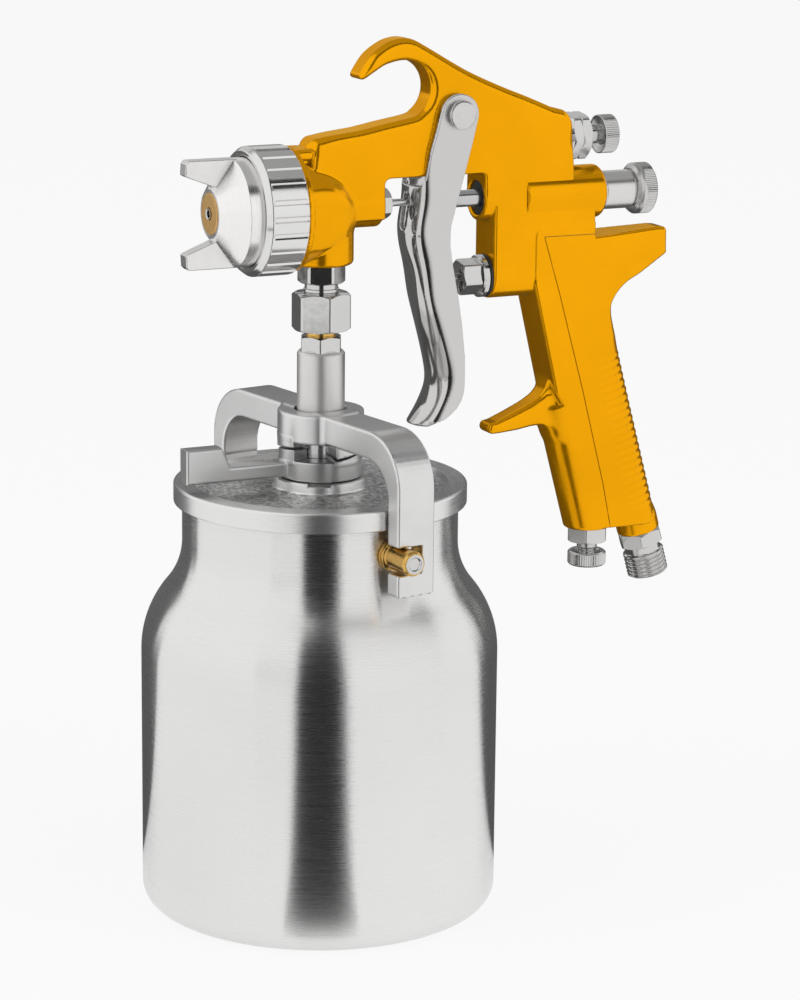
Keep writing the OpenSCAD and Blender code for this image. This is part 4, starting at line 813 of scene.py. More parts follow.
class SPRAYGUN_OT_head(Operator):
    """Air cap with horns, its grooved ring and brass centre, and the nozzle in it"""
    bl_idname = "spraygun.head"
    bl_label = "Head"

    def execute(self, context):
        detail = context.scene.gun_detail
        front, tip = span("air_cap_centre")[0][0] + 0.3, span("air_cap")[0][0]
        cap_r, cone = 16.3, front + 6.6
        section = fillet([(6.25, front + 1.6, 0), (6.25, front, 0.1), (7.4, front, 0.4), (cap_r, cone, 0.35),
                          (cap_r, -23.9, 0.2), (17.3, -23.9, 0.2), (17.3, -20.6, 0.2), (14.4, -20.6, 0.2),
                          (14.4, cone + 0.9, 0.2), (7.1, front + 2, 0)])
        turned("air_cap", dense(section, 1.2), SPRAY_AT, AFT, "cap", "satin_aluminium", "cap", ("air_cap",),
               160)

        wedge = [(cone + 1.2, 9), (cone + 1.2, cap_r - 0.05), (tip + 1.1, cap_r - 0.05),
                 (tip + 0.2, cap_r - 0.9), (tip, cap_r - 4.4), (tip + 0.7, cap_r - 4.9), (front - 1.0, 8.75),
                 (front + 2.2, 7.4)]

        def horn(x, y, z):
            """The wedge as a slab that narrows towards its tip."""
            return both(outline(wedge, x, z), np.abs(y) - 2.6 + 0.03 * np.clip(-37 - x, 0, 9), 0.3)
        points, faces, normals = net(horn, (tip - 0.5, -4, 6), (-26, 4, 18), 0.24)
        for name, flip in (("air_cap_horn_upper", 1), ("air_cap_horn_lower", -1)):
            turn = np.array([1, flip, flip])
            place(name, points * turn + SPRAY_AT, faces, "cap", "horn",
                  normals=normals * turn)

        disc = fillet([(1.95, front + 1.9, 0), (1.95, front - 0.3, 0.12), (6.2, front - 0.3, 0.2),
                       (6.2, front + 1.9, 0)])
        turned("air_cap_centre", disc, SPRAY_AT, AFT, "cap", "brass", "brass_plain", ("air_cap_centre",))
        nozzle = fillet([(1.15, front + 6, 0), (1.15, front - 0.5, 0.05), (1.7, front - 0.75, 0.05),
                         (1.7, front + 2.2, 0.2), (4.4, RING_FRONT + 2, 0.2), (7.2, RING_FRONT + 2, 0.2),
                         (7.2, RING_FRONT + 5, 0.2), (2, RING_FRONT + 5, 0)])
        turned("fluid_nozzle", nozzle, SPRAY_AT, AFT, "gun", "nickel", "steel", ("fluid_nozzle",))

        ring_r = span("air_cap_ring")[1][2] - SPRAY_Z
        profile = fillet([(16.15, RING_BACK, 0), (ring_r - 0.1, RING_BACK, 0.6),
                          (ring_r, RING_BACK - 0.9, 0.5), (ring_r, RING_FRONT + 1.7, 0.8),
                          (ring_r - 1.3, RING_FRONT, 0.5),
                          (cap_r + 0.75, RING_FRONT, 0.3), (cap_r + 0.2, RING_FRONT + 0.5, 0.2),
                          (cap_r + 0.2, RING_FRONT + 1.5, 0.1), (17.6, RING_FRONT + 1.6, 0.1),
                          (17.6, RING_BACK - 7.9, 0.1), (16.15, RING_BACK - 7.8, 0)])
        pitch = 2 * math.pi / detail.ring_grooves
        half, wall = detail.groove_width / 2 / ring_r, 0.2 / ring_r
        stops = np.concatenate([np.linspace(-half + wall, half - wall, 5),
                                np.linspace(half + wall, pitch - half - wall, 11)])
        angles = (np.arange(detail.ring_grooves)[:, None] * pitch + stops).ravel()

        def groove(theta, r, h):
            """Cuts the ring down by the groove's depth within half its width of every pitch."""
            off = np.abs((theta / pitch + 0.5) % 1 - 0.5) * pitch
            ends = ease((h - RING_FRONT - 1.9) / 0.6)
            return np.minimum(ring_r - detail.groove_depth - r, 0) * (off < half) * ends, 0 * r
        turned("air_cap_ring", dense(profile, 0.45), SPRAY_AT, AFT, "cap_ring", "nickel", "ring",
               ("air_cap_ring",), wave=groove, angles=angles)
        return {"FINISHED"}


class SPRAYGUN_OT_controls(Operator):
    """Needle, packing nut, fluid control, fan control and air valve on the casting"""
    bl_idname = "spraygun.controls"
    bl_label = "Controls"

    def execute(self, context):
        detail = context.scene.gun_detail
        end = span("packing_nut")[1][0]
        nut("packing_nut", 8.3, 0, end - 4.3, end - 0.9, 1.15, SPRAY_AT, AFT, ("packing_nut",), (False, True))
        tip, end = span("fluid_needle")[0][0], span("fluid_needle")[1][0]
        needle = [(0, tip), (0.4, tip), (1.05, tip + 4), (1.12, tip + 6), (1.12, end), (0, end)]
        turned("fluid_needle", needle, SPRAY_AT, AFT, "needle", "steel", "steel", ("fluid_needle",), 32)
        front, end = span("needle_carrier")[0][0], span("needle_carrier")[1][0]
        carrier = fillet([(1.2, front, 0), (2.6, front, 0.4), (2.6, end - 2.5, 0.1), (4.6, end - 2.5, 0.2),
                          (4.6, end, 0.2), (1.2, end, 0)])
        turned("needle_carrier", carrier, SPRAY_AT, AFT, "needle", "steel", "steel", ("needle_carrier",), 64)
        # A dark rubber ring round the carrier at the mouth of its bore, which also paints the shade in the
        # bore
        bush = fillet([(2.7, 52.6, 0), (5.35, 52.6, 0.2), (5.35, 56, 0.2), (2.7, 56, 0)])
        turned("carrier_bush", bush, SPRAY_AT, AFT, "gun", "rubber", "rubber", (), 64)

        end = span("fluid_control_sleeve")[1][0]
        boss = end - 11.6
        sleeve = fillet([(4.4, boss - 9, 0), (5.1, boss - 9, 0.1), (5.1, boss - 0.4, 0.1),
                         (6.25, boss - 0.4, 0.2), (6.25, boss + 0.7, 0.2), (5.85, boss + 0.9, 0.15),
                         (6.0, boss + 1.2, 0.1), (6.0, end - 0.9, 0.3), (5.6, end, 0.2), (4.4, end, 0)])
        turned("fluid_control_sleeve", sleeve, SPRAY_AT, AFT, "gun", "nickel", "turned_metal",
               ("fluid_control_sleeve",))
        low, high = span("fluid_knob")
        r, front, back = (high[2] - low[2]) / 2, high[0] - 5.8, high[0]
        knob = fillet([(0, boss, 0), (4.3, boss, 0.1), (4.3, front - 0.6, 0.6), (6.4, front - 0.2, 0.5),
                       (7.5, front + 0.35, 0.3), (r, front + 1.0, 0.2), (r, back - 0.4, 0.2),
                       (r - 0.5, back, 0.2), (5.2, back, 0.2), (4.6, back - 0.5, 0.2), (0, back - 0.5, 0)])
        turned("fluid_knob", dense(knob, 0.6), SPRAY_AT, AFT, "fluid_control", "nickel", "knurl",
               ("fluid_knob",), **knurl(r, front + 1.1, back - 0.35, detail.knurl_pitch, detail.knurl_depth))

        fan_at = (0, 0, SPRAY_Z + FAN_UP)
        end = span("fan_bushing")[1][0]
        plate = end - 6
        nut("fan_bushing_inner", 13.2, 40, plate - 0.3, plate + 2.9, 3, fan_at, AFT, ("fan_bushing",))
        nut("fan_bushing_outer", 13.2, 40, plate + 2.7, end, 3, fan_at, AFT)
        low, high = span("fan_knob")
        r, front, back = (high[2] - low[2]) / 2, low[0], high[0]
        stem = fillet([(0, plate - 9, 0), (2.9, plate - 9, 0.1), (2.9, front + 1.2, 0.1),
                       (0, front + 1.2, 0)])
        turned("fan_stem", stem, fan_at, AFT, "fan_control", "steel", "steel", ("fan_stem",), 64)
        knob = fillet([(0, front + 1.1, 0), (3.4, front + 1.1, 0.3), (5.2, front + 0.35, 0.4),
                       (r - 0.3, front, 0.15), (r, front + 0.25, 0.1), (r, back - 0.5, 0.3),
                       (r - 0.9, back, 0.5), (0, back, 0)])
        turned("fan_knob", dense(knob, 0.6), fan_at, AFT, "fan_control", "nickel", "knurl", ("fan_knob",),
               **knurl(r, front + 0.25, back - 0.5, detail.knurl_pitch, detail.knurl_depth))

        valve_at = (0, 0, SPRAY_Z - VALVE_DROP)
        low, high = span("air_valve_nut")
        front, back = span("air_valve_washer")[0][0], span("air_valve_washer")[1][0]
        flange, r = front - 2.2, (high[2] - low[2]) / 2
        profile = nut_profile(10, low[0], flange, 1.35, True, False)[:-1]
        profile += [(r - 0.5, flange + 0.02), (r, flange + 0.5), (r, flange + 1.8), (r - 0.4, flange + 2.2),
                    (1.35, flange + 2.2)]
        turned("air_valve_nut", profile, valve_at, AFT, "gun", "nickel", "nickel", ("air_valve_nut",), 144,
               (10, 45, low[0], flange))
        washer = fillet([(4.8, front, 0), (r + 0.05, front, 0.2), (r + 0.05, back, 0.2), (4.8, back, 0)])
        turned("air_valve_washer", washer, valve_at, AFT, "gun", "rubber", "rubber", ("air_valve_washer",),
               72)
        tip = span("air_valve_rod")[0][0]
        rod = fillet([(0, tip, 0), (1.3, tip, 0.35), (1.3, back + 8, 0.1), (0, back + 8, 0)])
        turned("air_valve_rod", rod, valve_at, AFT, "air_valve", "steel", "steel", ("air_valve_rod",), 40)
        return {"FINISHED"}


# Trigger, in X and height from the spray axis
WEB_LINE = smooth_line([(4, 28.2), (-2, 27.6), (-9, 26.8), (-13, 27), (-19, 28.3), (-27, 30), (-35, 31.8),
                        (-43, 33.8), (-51, 35.6), (-57, 36.2), (-61.5, 35), (-65, 33), (-68.5, 30),
                        (10, 28.6)])
CREASE_LINE = smooth_line([(7.5, 30.5), (0.5, 30.6), (-8.5, 29.3), (-14.9, 30.8), (-22, 32), (-29.1, 32.9),
                           (-36.4, 35.3), (-45.2, 38.2), (-53.9, 39.9), (-58.8, 38.8), (-63, 36.9),
                           (-67.2, 35)])
CHEEK = ([(24, 7.2), (24, -66), (28.6, -69.2), (33, -69), (35.8, -67.6), (38.0, -66.9), (39.6, -65.9),
          (42.0, -63.9), (43.6, -61.6), (44.5, -59), (44.8, -55), (44.6, -47.1), (43.6, -38), (42.3, -29.8),
          (41.0, -23), (39.8, -16.9), (39.2, -12.5), (39.2, -9.8), (39.5, -6.5), (40.4, -3.2), (44.2, 10.4),
          (46.6, 19.4)]
         + arc((42, 26.9), 6.2, -14, 162, 24)
         + [(34.2, 21.8), (32.2, 15.1), (31.2, 9.6), (30.7, 7.6), (29.5, 7.2)])


class SPRAYGUN_OT_trigger(Operator):
    """Pressed trigger with its two cheeks, web and needle slot, and the pivot pin"""
    bl_idname = "spraygun.trigger"
    bl_label = "Trigger"

    def execute(self, context):
        half, sheet, web_slope = 8.45, 1.5, 0.93

        def field(x, y, z):
            """The shell between an outer and an inner bend, open above, cut to the cheek, slotted."""
            flat = np.abs(y)
            web, crease = WEB_LINE(z), CREASE_LINE(z)
            hollow = 0.7 * np.exp(-(y / 3.2) ** 2 - ((z + 21.5) / 5.5) ** 2)
            front = web + (crease - web) * np.clip(flat / half, 0, 1) ** 2.4 + hollow
            outer = both(flat - half, (front - x) * web_slope, 1.9)
            inner = both(flat - half + sheet, (front + sheet / web_slope - x) * web_slope, 0.9)
            above = both(flat - half + sheet - 0.05, 5.2 - z + 0 * x, 1.5)
            shell = both(both(outer, -inner, 0.25), -above, 0.3)
            slot = np.maximum(np.hypot(y, z - np.clip(z, -6.3, 1.2)) - 2.15, x - 36)
            return both(both(shell, outline(CHEEK, x, z), 0.35), -slot, 0.35)
        points, faces, normals = net(field, (25, -9, -70.5), (49, 9, 34), 0.42)
        points[:, 2] += SPRAY_Z
        place("trigger", points, faces, "trigger", "trigger", ("trigger",), normals=normals)
        pivot = centre("trigger_pin")
        head = -span("trigger_pin")[0][1] + 0.9
        pin = fillet([(0, head - 0.05, 0), (3.3, head, 1.2), (3.9, head - 0.02, 0.3), (4.4, head - 0.35, 0.3),
                      (4.4, head - 1.95, 0.1), (2.45, head - 2.0, 0.1), (2.45, 0, 0.1), (2.45, -8.3, 0.2),
                      (0, -8.3, 0)])
        turned("trigger_pin", pin, (pivot[0], 0, pivot[2]), (0, -1, 0), "gun", "steel", "pin",
               ("trigger_pin",))
        return {"FINISHED"}


class SPRAYGUN_OT_fittings(Operator):
    """Air regulator and air nipple under the handle"""
    bl_idname = "spraygun.fittings"
    bl_label = "Handle fittings"

    def execute(self, context):
        detail = context.scene.gun_detail
        foot = span("regulator_bushing")[0][2]
        low, high = span("regulator_knob")
        at, r, base, top = (centre("regulator_knob")[0], 0, 0), (high[0] - low[0]) / 2, low[2], high[2]
        nut("regulator_bushing", 12, 0, foot, FRONT_FOOT[2], 3.25, at, UP, ("regulator_bushing",),
            (True, False))
        stem = fillet([(0, top - 1, 0), (2.7, top - 1, 0.1), (2.7, top + 0.9, 0.3), (3.2, top + 1.3, 0.2),
                       (3.2, foot + 1, 0.1), (0, foot + 1, 0)])
        turned("regulator_stem", stem, at, UP, "regulator", "steel", "steel", ("regulator_stem",), 64)
        knob = fillet([(0, base, 0), (r - 0.6, base, 0.3), (r, base + 0.55, 0.3), (r, top - 0.55, 0.3),
                       (r - 0.6, top, 0.3), (4.2, top, 0.2), (3.6, top - 0.3, 0.2), (0, top - 0.3, 0)])
        turned("regulator_knob", dense(knob, 0.6), at, UP, "regulator", "nickel", "knurl",
               ("regulator_knob",),
               **knurl(r, base + 0.55, top - 0.55, detail.knurl_pitch * 1.25, detail.knurl_depth * 1.15))
        r = PIPE_THREAD / 2
        nut("air_nipple_hexagon", 13, 8, -4.6, 0, 3.8, REAR_FOOT, LEAN, ("air_inlet",))
        nipple = fillet([(3.8, -4.4, 0), (5.7, -4.4, 0.1), (5.7, -7.0, 0.3), (r, -7.4, 0.2), (r, -14.4, 0.2),
                         (r - 0.5, -14.8, 0.15), (4.9, -14.8, 0.3), (3.8, -13.9, 0)])
        turned("air_nipple_thread", dense(nipple, 0.11), REAR_FOOT, LEAN, "gun", "nickel", "nickel",
               wave=thread(r, -14.6, -7.4, detail.thread_pitch, 0.72), sharp=80)
        return {"FINISHED"}


class SPRAYGUN_OT_siphon(Operator):
    """Fluid inlet, union nut, brass seat, siphon stem and sleeve"""
    bl_idname = "spraygun.siphon"
    bl_label = "Siphon stack"

    def execute(self, context):
        low, neck = span("union_nut")[0][2], span("union_nut")[1][2]
        hex_top = SPRAY_Z - 17.2
        hex_low = hex_top - 5.6
        nut("fluid_inlet_hexagon", 12.8, -25, hex_low, hex_top, 3.2, CUP_AT, UP, ("fluid_inlet",),
            (True, False))
        pipe = fillet([(3.2, hex_low + 0.3, 0), (5.05, hex_low + 0.3, 0.1), (5.05, neck + 1.5, 0.1),
                       (5.4, neck + 1.35, 0.2), (5.4, neck + 0.45, 0.2), (5.05, neck + 0.3, 0.1),
                       (5.05, neck - 3, 0.1), (3.2, neck - 3, 0)])
        turned("fluid_inlet_neck", pipe, CUP_AT, UP, "gun", "nickel", "nickel")
        nut("union_nut", 16, -34.3, low, neck, 5.2, CUP_AT, UP, ("union_nut",), body="union", columns=192)
        foot, top = span("siphon_stem")[0][2], span("siphon_stem")[1][2]
        seat = fillet([(3.2, top - 0.6, 0), (4.5, top - 0.6, 0.2), (4.7, top + 0.5, 0.2), (4.7, low + 2, 0.1),
                       (3.2, low + 2, 0)])
        turned("cone_seat", seat, CUP_AT, UP, "gun", "brass", "brass", ("cone_seat",))
        base, step = span("spacer_sleeve")[0][2], span("spacer_sleeve")[1][2]
        nut("siphon_stem_hexagon", 11.9, 4.65, step, top, 4, CUP_AT, UP, ("siphon_stem",), (False, True))
        shank = fillet([(4.2, foot, 0), (6.2, foot, 0.1), (6.2, step + 0.5, 0.1), (4.2, step + 0.5, 0)])
        turned("siphon_stem_shank", shank, CUP_AT, UP, "gun", "steel", "steel")
        sleeve = fillet([(6.25, base - 0.9, 0), (7.3, base - 0.9, 0.1), (7.3, step - 0.7, 0.3),
                         (6.8, step, 0.2), (6.25, step, 0)])
        turned("spacer_sleeve", sleeve, CUP_AT, UP, "gun", "satin_aluminium", "sleeve", ("spacer_sleeve",),
               120)
        return {"FINISHED"}


class SPRAYGUN_OT_clamp(Operator):
    """Clamp yoke with its slotted legs and cam hub, and the cam lever under it"""
    bl_idname = "spraygun.clamp"
    bl_label = "Clamp"

    def execute(self, context):
        c, s = math.cos(YOKE_AZIMUTH), math.sin(YOKE_AZIMUTH)
        lever_low, lever_high = span("clamp_lever")
        leg_in, leg_out, leg_low = LID_R + 0.7, LID_R + 6.7, span("yoke")[0][2]
        bend, inner, bar_low, hub_low = 16.0, 11.0, HUB_TOP - 8.6, HUB_TOP - 9.0
        over = [(leg_in, leg_low), (leg_out, leg_low)]
        over += arc((leg_out - bend, HUB_TOP - bend), bend, 0, 90, 16)
        under = arc((leg_in - inner, bar_low - inner), inner, 90, 0, 14)
        shape = over + [(-p, q) for p, q in over[::-1]] + [(-p, q) for p, q in under[::-1]] + under
        hub_r, collar_r, stem_r, cam_rise = 13.2, 12.8, 6.4, 3.2
        arch_half, arm_half, slot_half, slot_past = 6.5, 3.0, 4.2, 2.0
        cam_low = lever_low[2] + 6.4
        steep = cam_rise / (2 * collar_r * math.cos(math.radians(30)))
        cam_from, cam_turn = 87.0, 120.0
        middle = math.radians(cam_from + cam_turn / 2)

        def cam(x, y, z):
            """Sloped cam face of either half, and the half's sector: both below zero under the face."""
            turn = np.degrees(np.arctan2(y, x)) % 360
            swing = (turn - cam_from) % 180
            first = np.where(((turn - cam_from) % 360) < 180, 1.0, -1.0)
            ahead = first * (-x * math.sin(middle) + y * math.cos(middle))
            within = -np.minimum(swing, cam_turn - swing)
            past = np.minimum(swing - cam_turn, 180 - swing)
            rho = np.maximum(np.hypot(x, y), 3)
            sector = np.where(swing < cam_turn, within, past) * math.radians(1) * rho
            return z - cam_low - cam_rise / 2 - steep * ahead, sector

        def yoke(x, y, z):
            """The arch's slab, the hub and its cam teeth, less the legs' slots and the stepped bore."""
            along, across, rho = x * c + y * s, -x * s + y * c, np.hypot(x, y)
            arch = both(outline(shape, along, z), np.abs(across) - arch_half, 0.75)
            hub = bar(rho - hub_r, z, hub_low, HUB_TOP, 0.7)
            face, sector = cam(x, y, z)
            teeth = both(both(rho - hub_r, np.maximum(cam_low - z, z - hub_low - 2), 0.4),
                         np.maximum(sector, 0.7 - face), 0.3)
            slot = np.maximum(np.abs(z - STUD_Z) - slot_half, across * np.sign(along) - slot_past)
            slot = np.maximum(slot, 40 - np.abs(along))
            body = both(join(join(arch, hub, 1.2), teeth, 0.3), -slot, 0.5)
            return both(body, np.where(z > HUB_TOP - 1.3, 8.0, stem_r) - rho, 0.25)
        points, faces, normals = net(yoke, (-15, -53, leg_low - 1), (15, 53, HUB_TOP + 1), 0.5)
        place("yoke", points, faces, "yoke", "cast", ("yoke",), normals=normals)

        reach, arm = lever_low[0], lever_low[2] + 0.8
        side = [(reach, arm), (-8, arm), (-8, arm + 4.5), (reach + 14.3, arm + 4.5),
                (reach + 11.6, arm + 10.6), (reach, arm + 10.6)]

        def lever(x, y, z):
            """The collar, its cam ramps and the arm with its thumb block, less the bore."""
            rho = np.hypot(x, y)
            collar = bar(rho - collar_r, z, lever_low[2], cam_low - 0.3, 0.5)
            face, sector = cam(x, y, z)
            ramp = both(both(rho - collar_r, cam_low - 1.5 - z, 0.2), np.maximum(sector, face), 0.3)
            handle = both(outline(side, x, z), np.abs(y) - arm_half, 0.8)
            return both(join(join(collar, ramp, 0.3), handle, 0.8), stem_r - rho, 0.25)
        points, faces, normals = net(lever, (reach - 1, -14, arm - 2), (14, 14, lever_high[2] + 1), 0.42)
        place("clamp_lever", points, faces, "lever", "lever", ("clamp_lever",),
              normals=normals)
        return {"FINISHED"}


def lattice_noise(u, v, seed):
    """Smooth noise on a plane: seeded random values at whole numbers, blended with smooth steps."""
    table = np.random.RandomState(seed).uniform(-1, 1, (256, 256))
    i, j = np.floor(u).astype(int), np.floor(v).astype(int)
    f, g = u - i, v - j
    f, g = f * f * (3 - 2 * f), g * g * (3 - 2 * g)
    a, b = table[i % 256, j % 256], table[(i + 1) % 256, j % 256]
    c, d = table[i % 256, (j + 1) % 256], table[(i + 1) % 256, (j + 1) % 256]
    return (a * (1 - f) + b * f) * (1 - g) + (c * (1 - f) + d * f) * g


class SPRAYGUN_OT_lid(Operator):
    """Lid with flat rim, grained sunk floor, boss and skirt"""
    bl_idname = "spraygun.lid"
    bl_label = "Lid"

    def execute(self, context):
        depth = context.scene.gun_detail.pebble
        rim, floor, boss, skirt = LID_TOP - LID_RIM_DROP, LID_FLOOR, LID_TOP, span("lid")[0][2]
        under, inner = floor - 1.4, LID_R - 6
        vent_turn, vent_half, vent_depth = -115, 3.5, 0.85
        profile = fillet([(6.3, under, 0), (LID_R - 2, under, 0.3), (LID_R - 2, skirt, 0.2),
                          (LID_R, skirt, 0.5), (LID_R, rim, 0.9), (inner, rim, 0.4),
                          (inner - 1.3, floor, 0.7), (14.5, floor, 0.6), (14.1, boss - 0.3, 0.3),
                          (13.7, boss, 0.2), (6.3, boss, 0)], 5)

        def grain(theta, r, h):
            """Two noises raise and sink the floor, and a notch across the boss's edge vents the cup."""
            x, y = r * np.cos(theta), r * np.sin(theta)
            coarse = lattice_noise(x / 1.5 + 90, y / 1.5 + 90, 5)
            fine = lattice_noise(x / 1.0 + 200, y / 1.0 + 200, 8)
            zone = np.clip((r - 15.9) / 0.8, 0, 1) * np.clip((inner - 1.9 - r) / 0.8, 0, 1)
            zone = zone * (np.abs(h - floor) < 0.3)
            off = np.abs((np.degrees(theta) - vent_turn + 180) % 360 - 180)
            away = off * math.pi / 180 * np.maximum(r, 1)
            notch = (away < vent_half) & (h > boss - 1.0) & (r > 12.2)
            cut = vent_depth * notch * np.clip((h - boss + 1) / 0.5, 0, 1)
            return 0 * r, depth * (0.55 * coarse + 0.45 * fine) * zone - cut
        turned("lid", dense(profile, 0.55), CUP_AT, UP, "gun", "brushed_aluminium", "lid", ("lid",), 360,
               wave=grain, sharp=60)
        return {"FINISHED"}


class SPRAYGUN_OT_cup(Operator):
    """Brushed cup with its curved shoulder, and the brass studs with their plugs"""
    bl_idname = "spraygun.cup"
    bl_label = "Cup"

    def execute(self, context):
        wall, neck_r, corner = 1.5, LID_R - 2.6, 6.5
        neck, tall, share = CUP_H - 13.8, 35.0, 0.58
        shoulder = neck - tall
        tilt = 2 * math.atan((CUP_R - neck_r) / tall)
        total = tall / math.sin(tilt)
        bulge, hollow = total * share, total * (1 - share)
        out = [(0, 0.6), (CUP_R - 12, 0.6), (CUP_R - 10.5, 0)]
        out += arc((CUP_R - corner, corner), corner, -90, 0, 12)
        out += list(dense([(CUP_R, corner), (CUP_R, shoulder)], 8))[1:-1]
        out += arc((CUP_R - bulge, shoulder), bulge, 0, math.degrees(tilt), 20)
        out += arc((neck_r + hollow, neck), hollow, 180 + math.degrees(tilt), 180, 16)[1:]
        out += [(neck_r, CUP_H - 0.6), (neck_r - 0.5, CUP_H), (neck_r - wall, CUP_H), (neck_r - wall, neck),
                (CUP_R - wall - 4, shoulder), (CUP_R - wall, shoulder - 12), (CUP_R - wall, 9),
                (CUP_R - 8, 2.5), (0, 2.5)]
        turned("cup", out, CUP_AT, UP, "gun", "brushed_aluminium", "cup", ("cup",), 240, sharp=34)

        stud_r = 3.8
        wide = stud_r * abs(math.cos(STUD_AZIMUTH))
        end = (abs(span("cup_studs")[0][1]) - wide) / abs(math.sin(STUD_AZIMUTH))
        stud = fillet([(0, neck_r - 2, 0), (2.4, neck_r - 2, 0.1), (2.4, neck_r + 0.1, 0.1),
                       (4.7, neck_r + 0.1, 0.3), (4.7, neck_r + 0.9, 0.2), (4.25, neck_r + 1.0, 0.1),
                       (4.25, neck_r + 1.35, 0.1),
                       (4.55, neck_r + 1.5, 0.2), (4.55, neck_r + 2.3, 0.3), (stud_r, neck_r + 2.9, 0.5),
                       (stud_r, end - 0.9, 0.6), (3.2, end - 0.1, 0.3), (2.6, end - 0.1, 0.2),
                       (2.5, end - 3, 0.1), (0, end - 3, 0)])
        plug = fillet([(0, end - 2.9, 0), (2.45, end - 2.9, 0.1), (3.05, end - 0.15, 0.1),
                       (2.9, end + 0.02, 0.15), (2.2, end + 0.02, 0.3), (1.75, end - 0.6, 0.3),
                       (1.0, end - 0.55, 0.5), (0, end - 0.35, 0)])
        at = (0, 0, STUD_Z)
        for side, turn, studs, plugs in (("near", STUD_AZIMUTH, ("cup_studs",), ("stud_plugs",)),
                                         ("far", STUD_AZIMUTH + math.pi, (), ())):
            way = (math.cos(turn), math.sin(turn), 0)
            turned("cup_stud_" + side, stud, at, way, "gun", "brass", "brass", studs)
            turned("stud_plug_" + side, plug, at, way, "gun", "nickel", "nickel", plugs)
        return {"FINISHED"}


INNER_NODES = {"air_baffle": "steel", "needle_packing": "packing", "needle_guide": "brass",
               "needle_spring": "steel", "air_valve_seat": "brass", "air_valve_spring": "steel",
               "trigger_pin_screw": "nickel", "siphon_tube": "steel", "stem_locknut": "nickel",
               "lid_gasket": "rubber"}


class SPRAYGUN_OT_inner(Operator):
    """Finishes on the CAD pieces that stay as they are: seals, springs, guides and the tube in the cup"""
    bl_idname = "spraygun.inner"
    bl_label = "Inner pieces"

    def execute(self, context):
        for node, key in INNER_NODES.items():
            obj = bpy.data.objects[node]
            obj.data.materials.clear()
            obj.data.materials.append(MATERIALS[key])
        return {"FINISHED"}


# Stage

EYE = math.radians(VIEW_AZIMUTH - 90)
AIM = (0.03, 0, 0.14)
# How far the floor shows its own white to the camera instead of shade
FLOOR_GLOW = 0.85


def seen_rays(tree):
    """1 for the rays of camera, mirror and glass, 0 for those that carry light."""
    path = tree.nodes.new("ShaderNodeLightPath")
    rays = path.outputs["Is Camera Ray"]
    for name in ("Is Glossy Ray", "Is Transmission Ray"):
        either = tree.nodes.new("ShaderNodeMath")
        either.operation = "MAXIMUM"
        tree.links.new(rays, either.inputs[0])
        tree.links.new(path.outputs[name], either.inputs[1])
        rays = either.outputs[0]
    return rays


def staged(name, data):
    """An object of the scene."""
    obj = bpy.data.objects.new(name, data)
    bpy.context.scene.collection.objects.link(obj)
    return obj


def sheet(name, corners):
    """A flat face that belongs to the stage."""
    mesh = bpy.data.meshes.new(name)
    mesh.from_pydata(corners, [], [tuple(range(len(corners)))])
    obj = staged(name, mesh)
    return obj


def around(corners):
    """Points given as [bearing off the camera in degrees, distance, height]."""
    turns = [(EYE + math.radians(t), d, h) for t, d, h in corners]
    return [(math.cos(a) * d, math.sin(a) * d, h) for a, d, h in turns]


def upright(left, right, distance, low, high):
    """Corners of a sheet that stands between two bearings."""
    return around([(left, distance, low), (right, distance, low), (right, distance, high),
                   (left, distance, high)])


def card(name, corners, level):
    """A card that only reflections show."""
    obj = sheet(name, corners)
    n = Nodes(name)
    n.surface(n.add("ShaderNodeEmission", Color=(1, 1, 1, 1), Strength=level).outputs[0])
    obj.data.materials.append(n.material)
    obj.visible_camera = obj.visible_diffuse = obj.visible_shadow = False
    obj.visible_transmission = obj.visible_volume_scatter = False


def stand(obj, x, y, z, at):
    """Puts an object at a place, its own axes along x, y and z."""
    m = Matrix.Identity(4)
    m.col[0][:3], m.col[1][:3], m.col[2][:3], m.col[3][:3] = x, y, z, at
    obj.matrix_world = m


def soft_box(name, bearing, power):
    """A large lamp that looks at the gun's middle and is not mirrored."""
    lamp = bpy.data.lights.new(name, "AREA")
    lamp.shape, lamp.size, lamp.size_y, lamp.energy = "RECTANGLE", 1.3, 1.6, power
    obj = staged(name, lamp)
    spot = np.array(around([(bearing, 1.6, 0.9)])[0])
    z = (spot - AIM) / np.linalg.norm(spot - AIM)
    x = np.cross(UP, z)
    x = x / np.linalg.norm(x)
    stand(obj, x, np.cross(z, x), z, spot)
    obj.visible_glossy = False


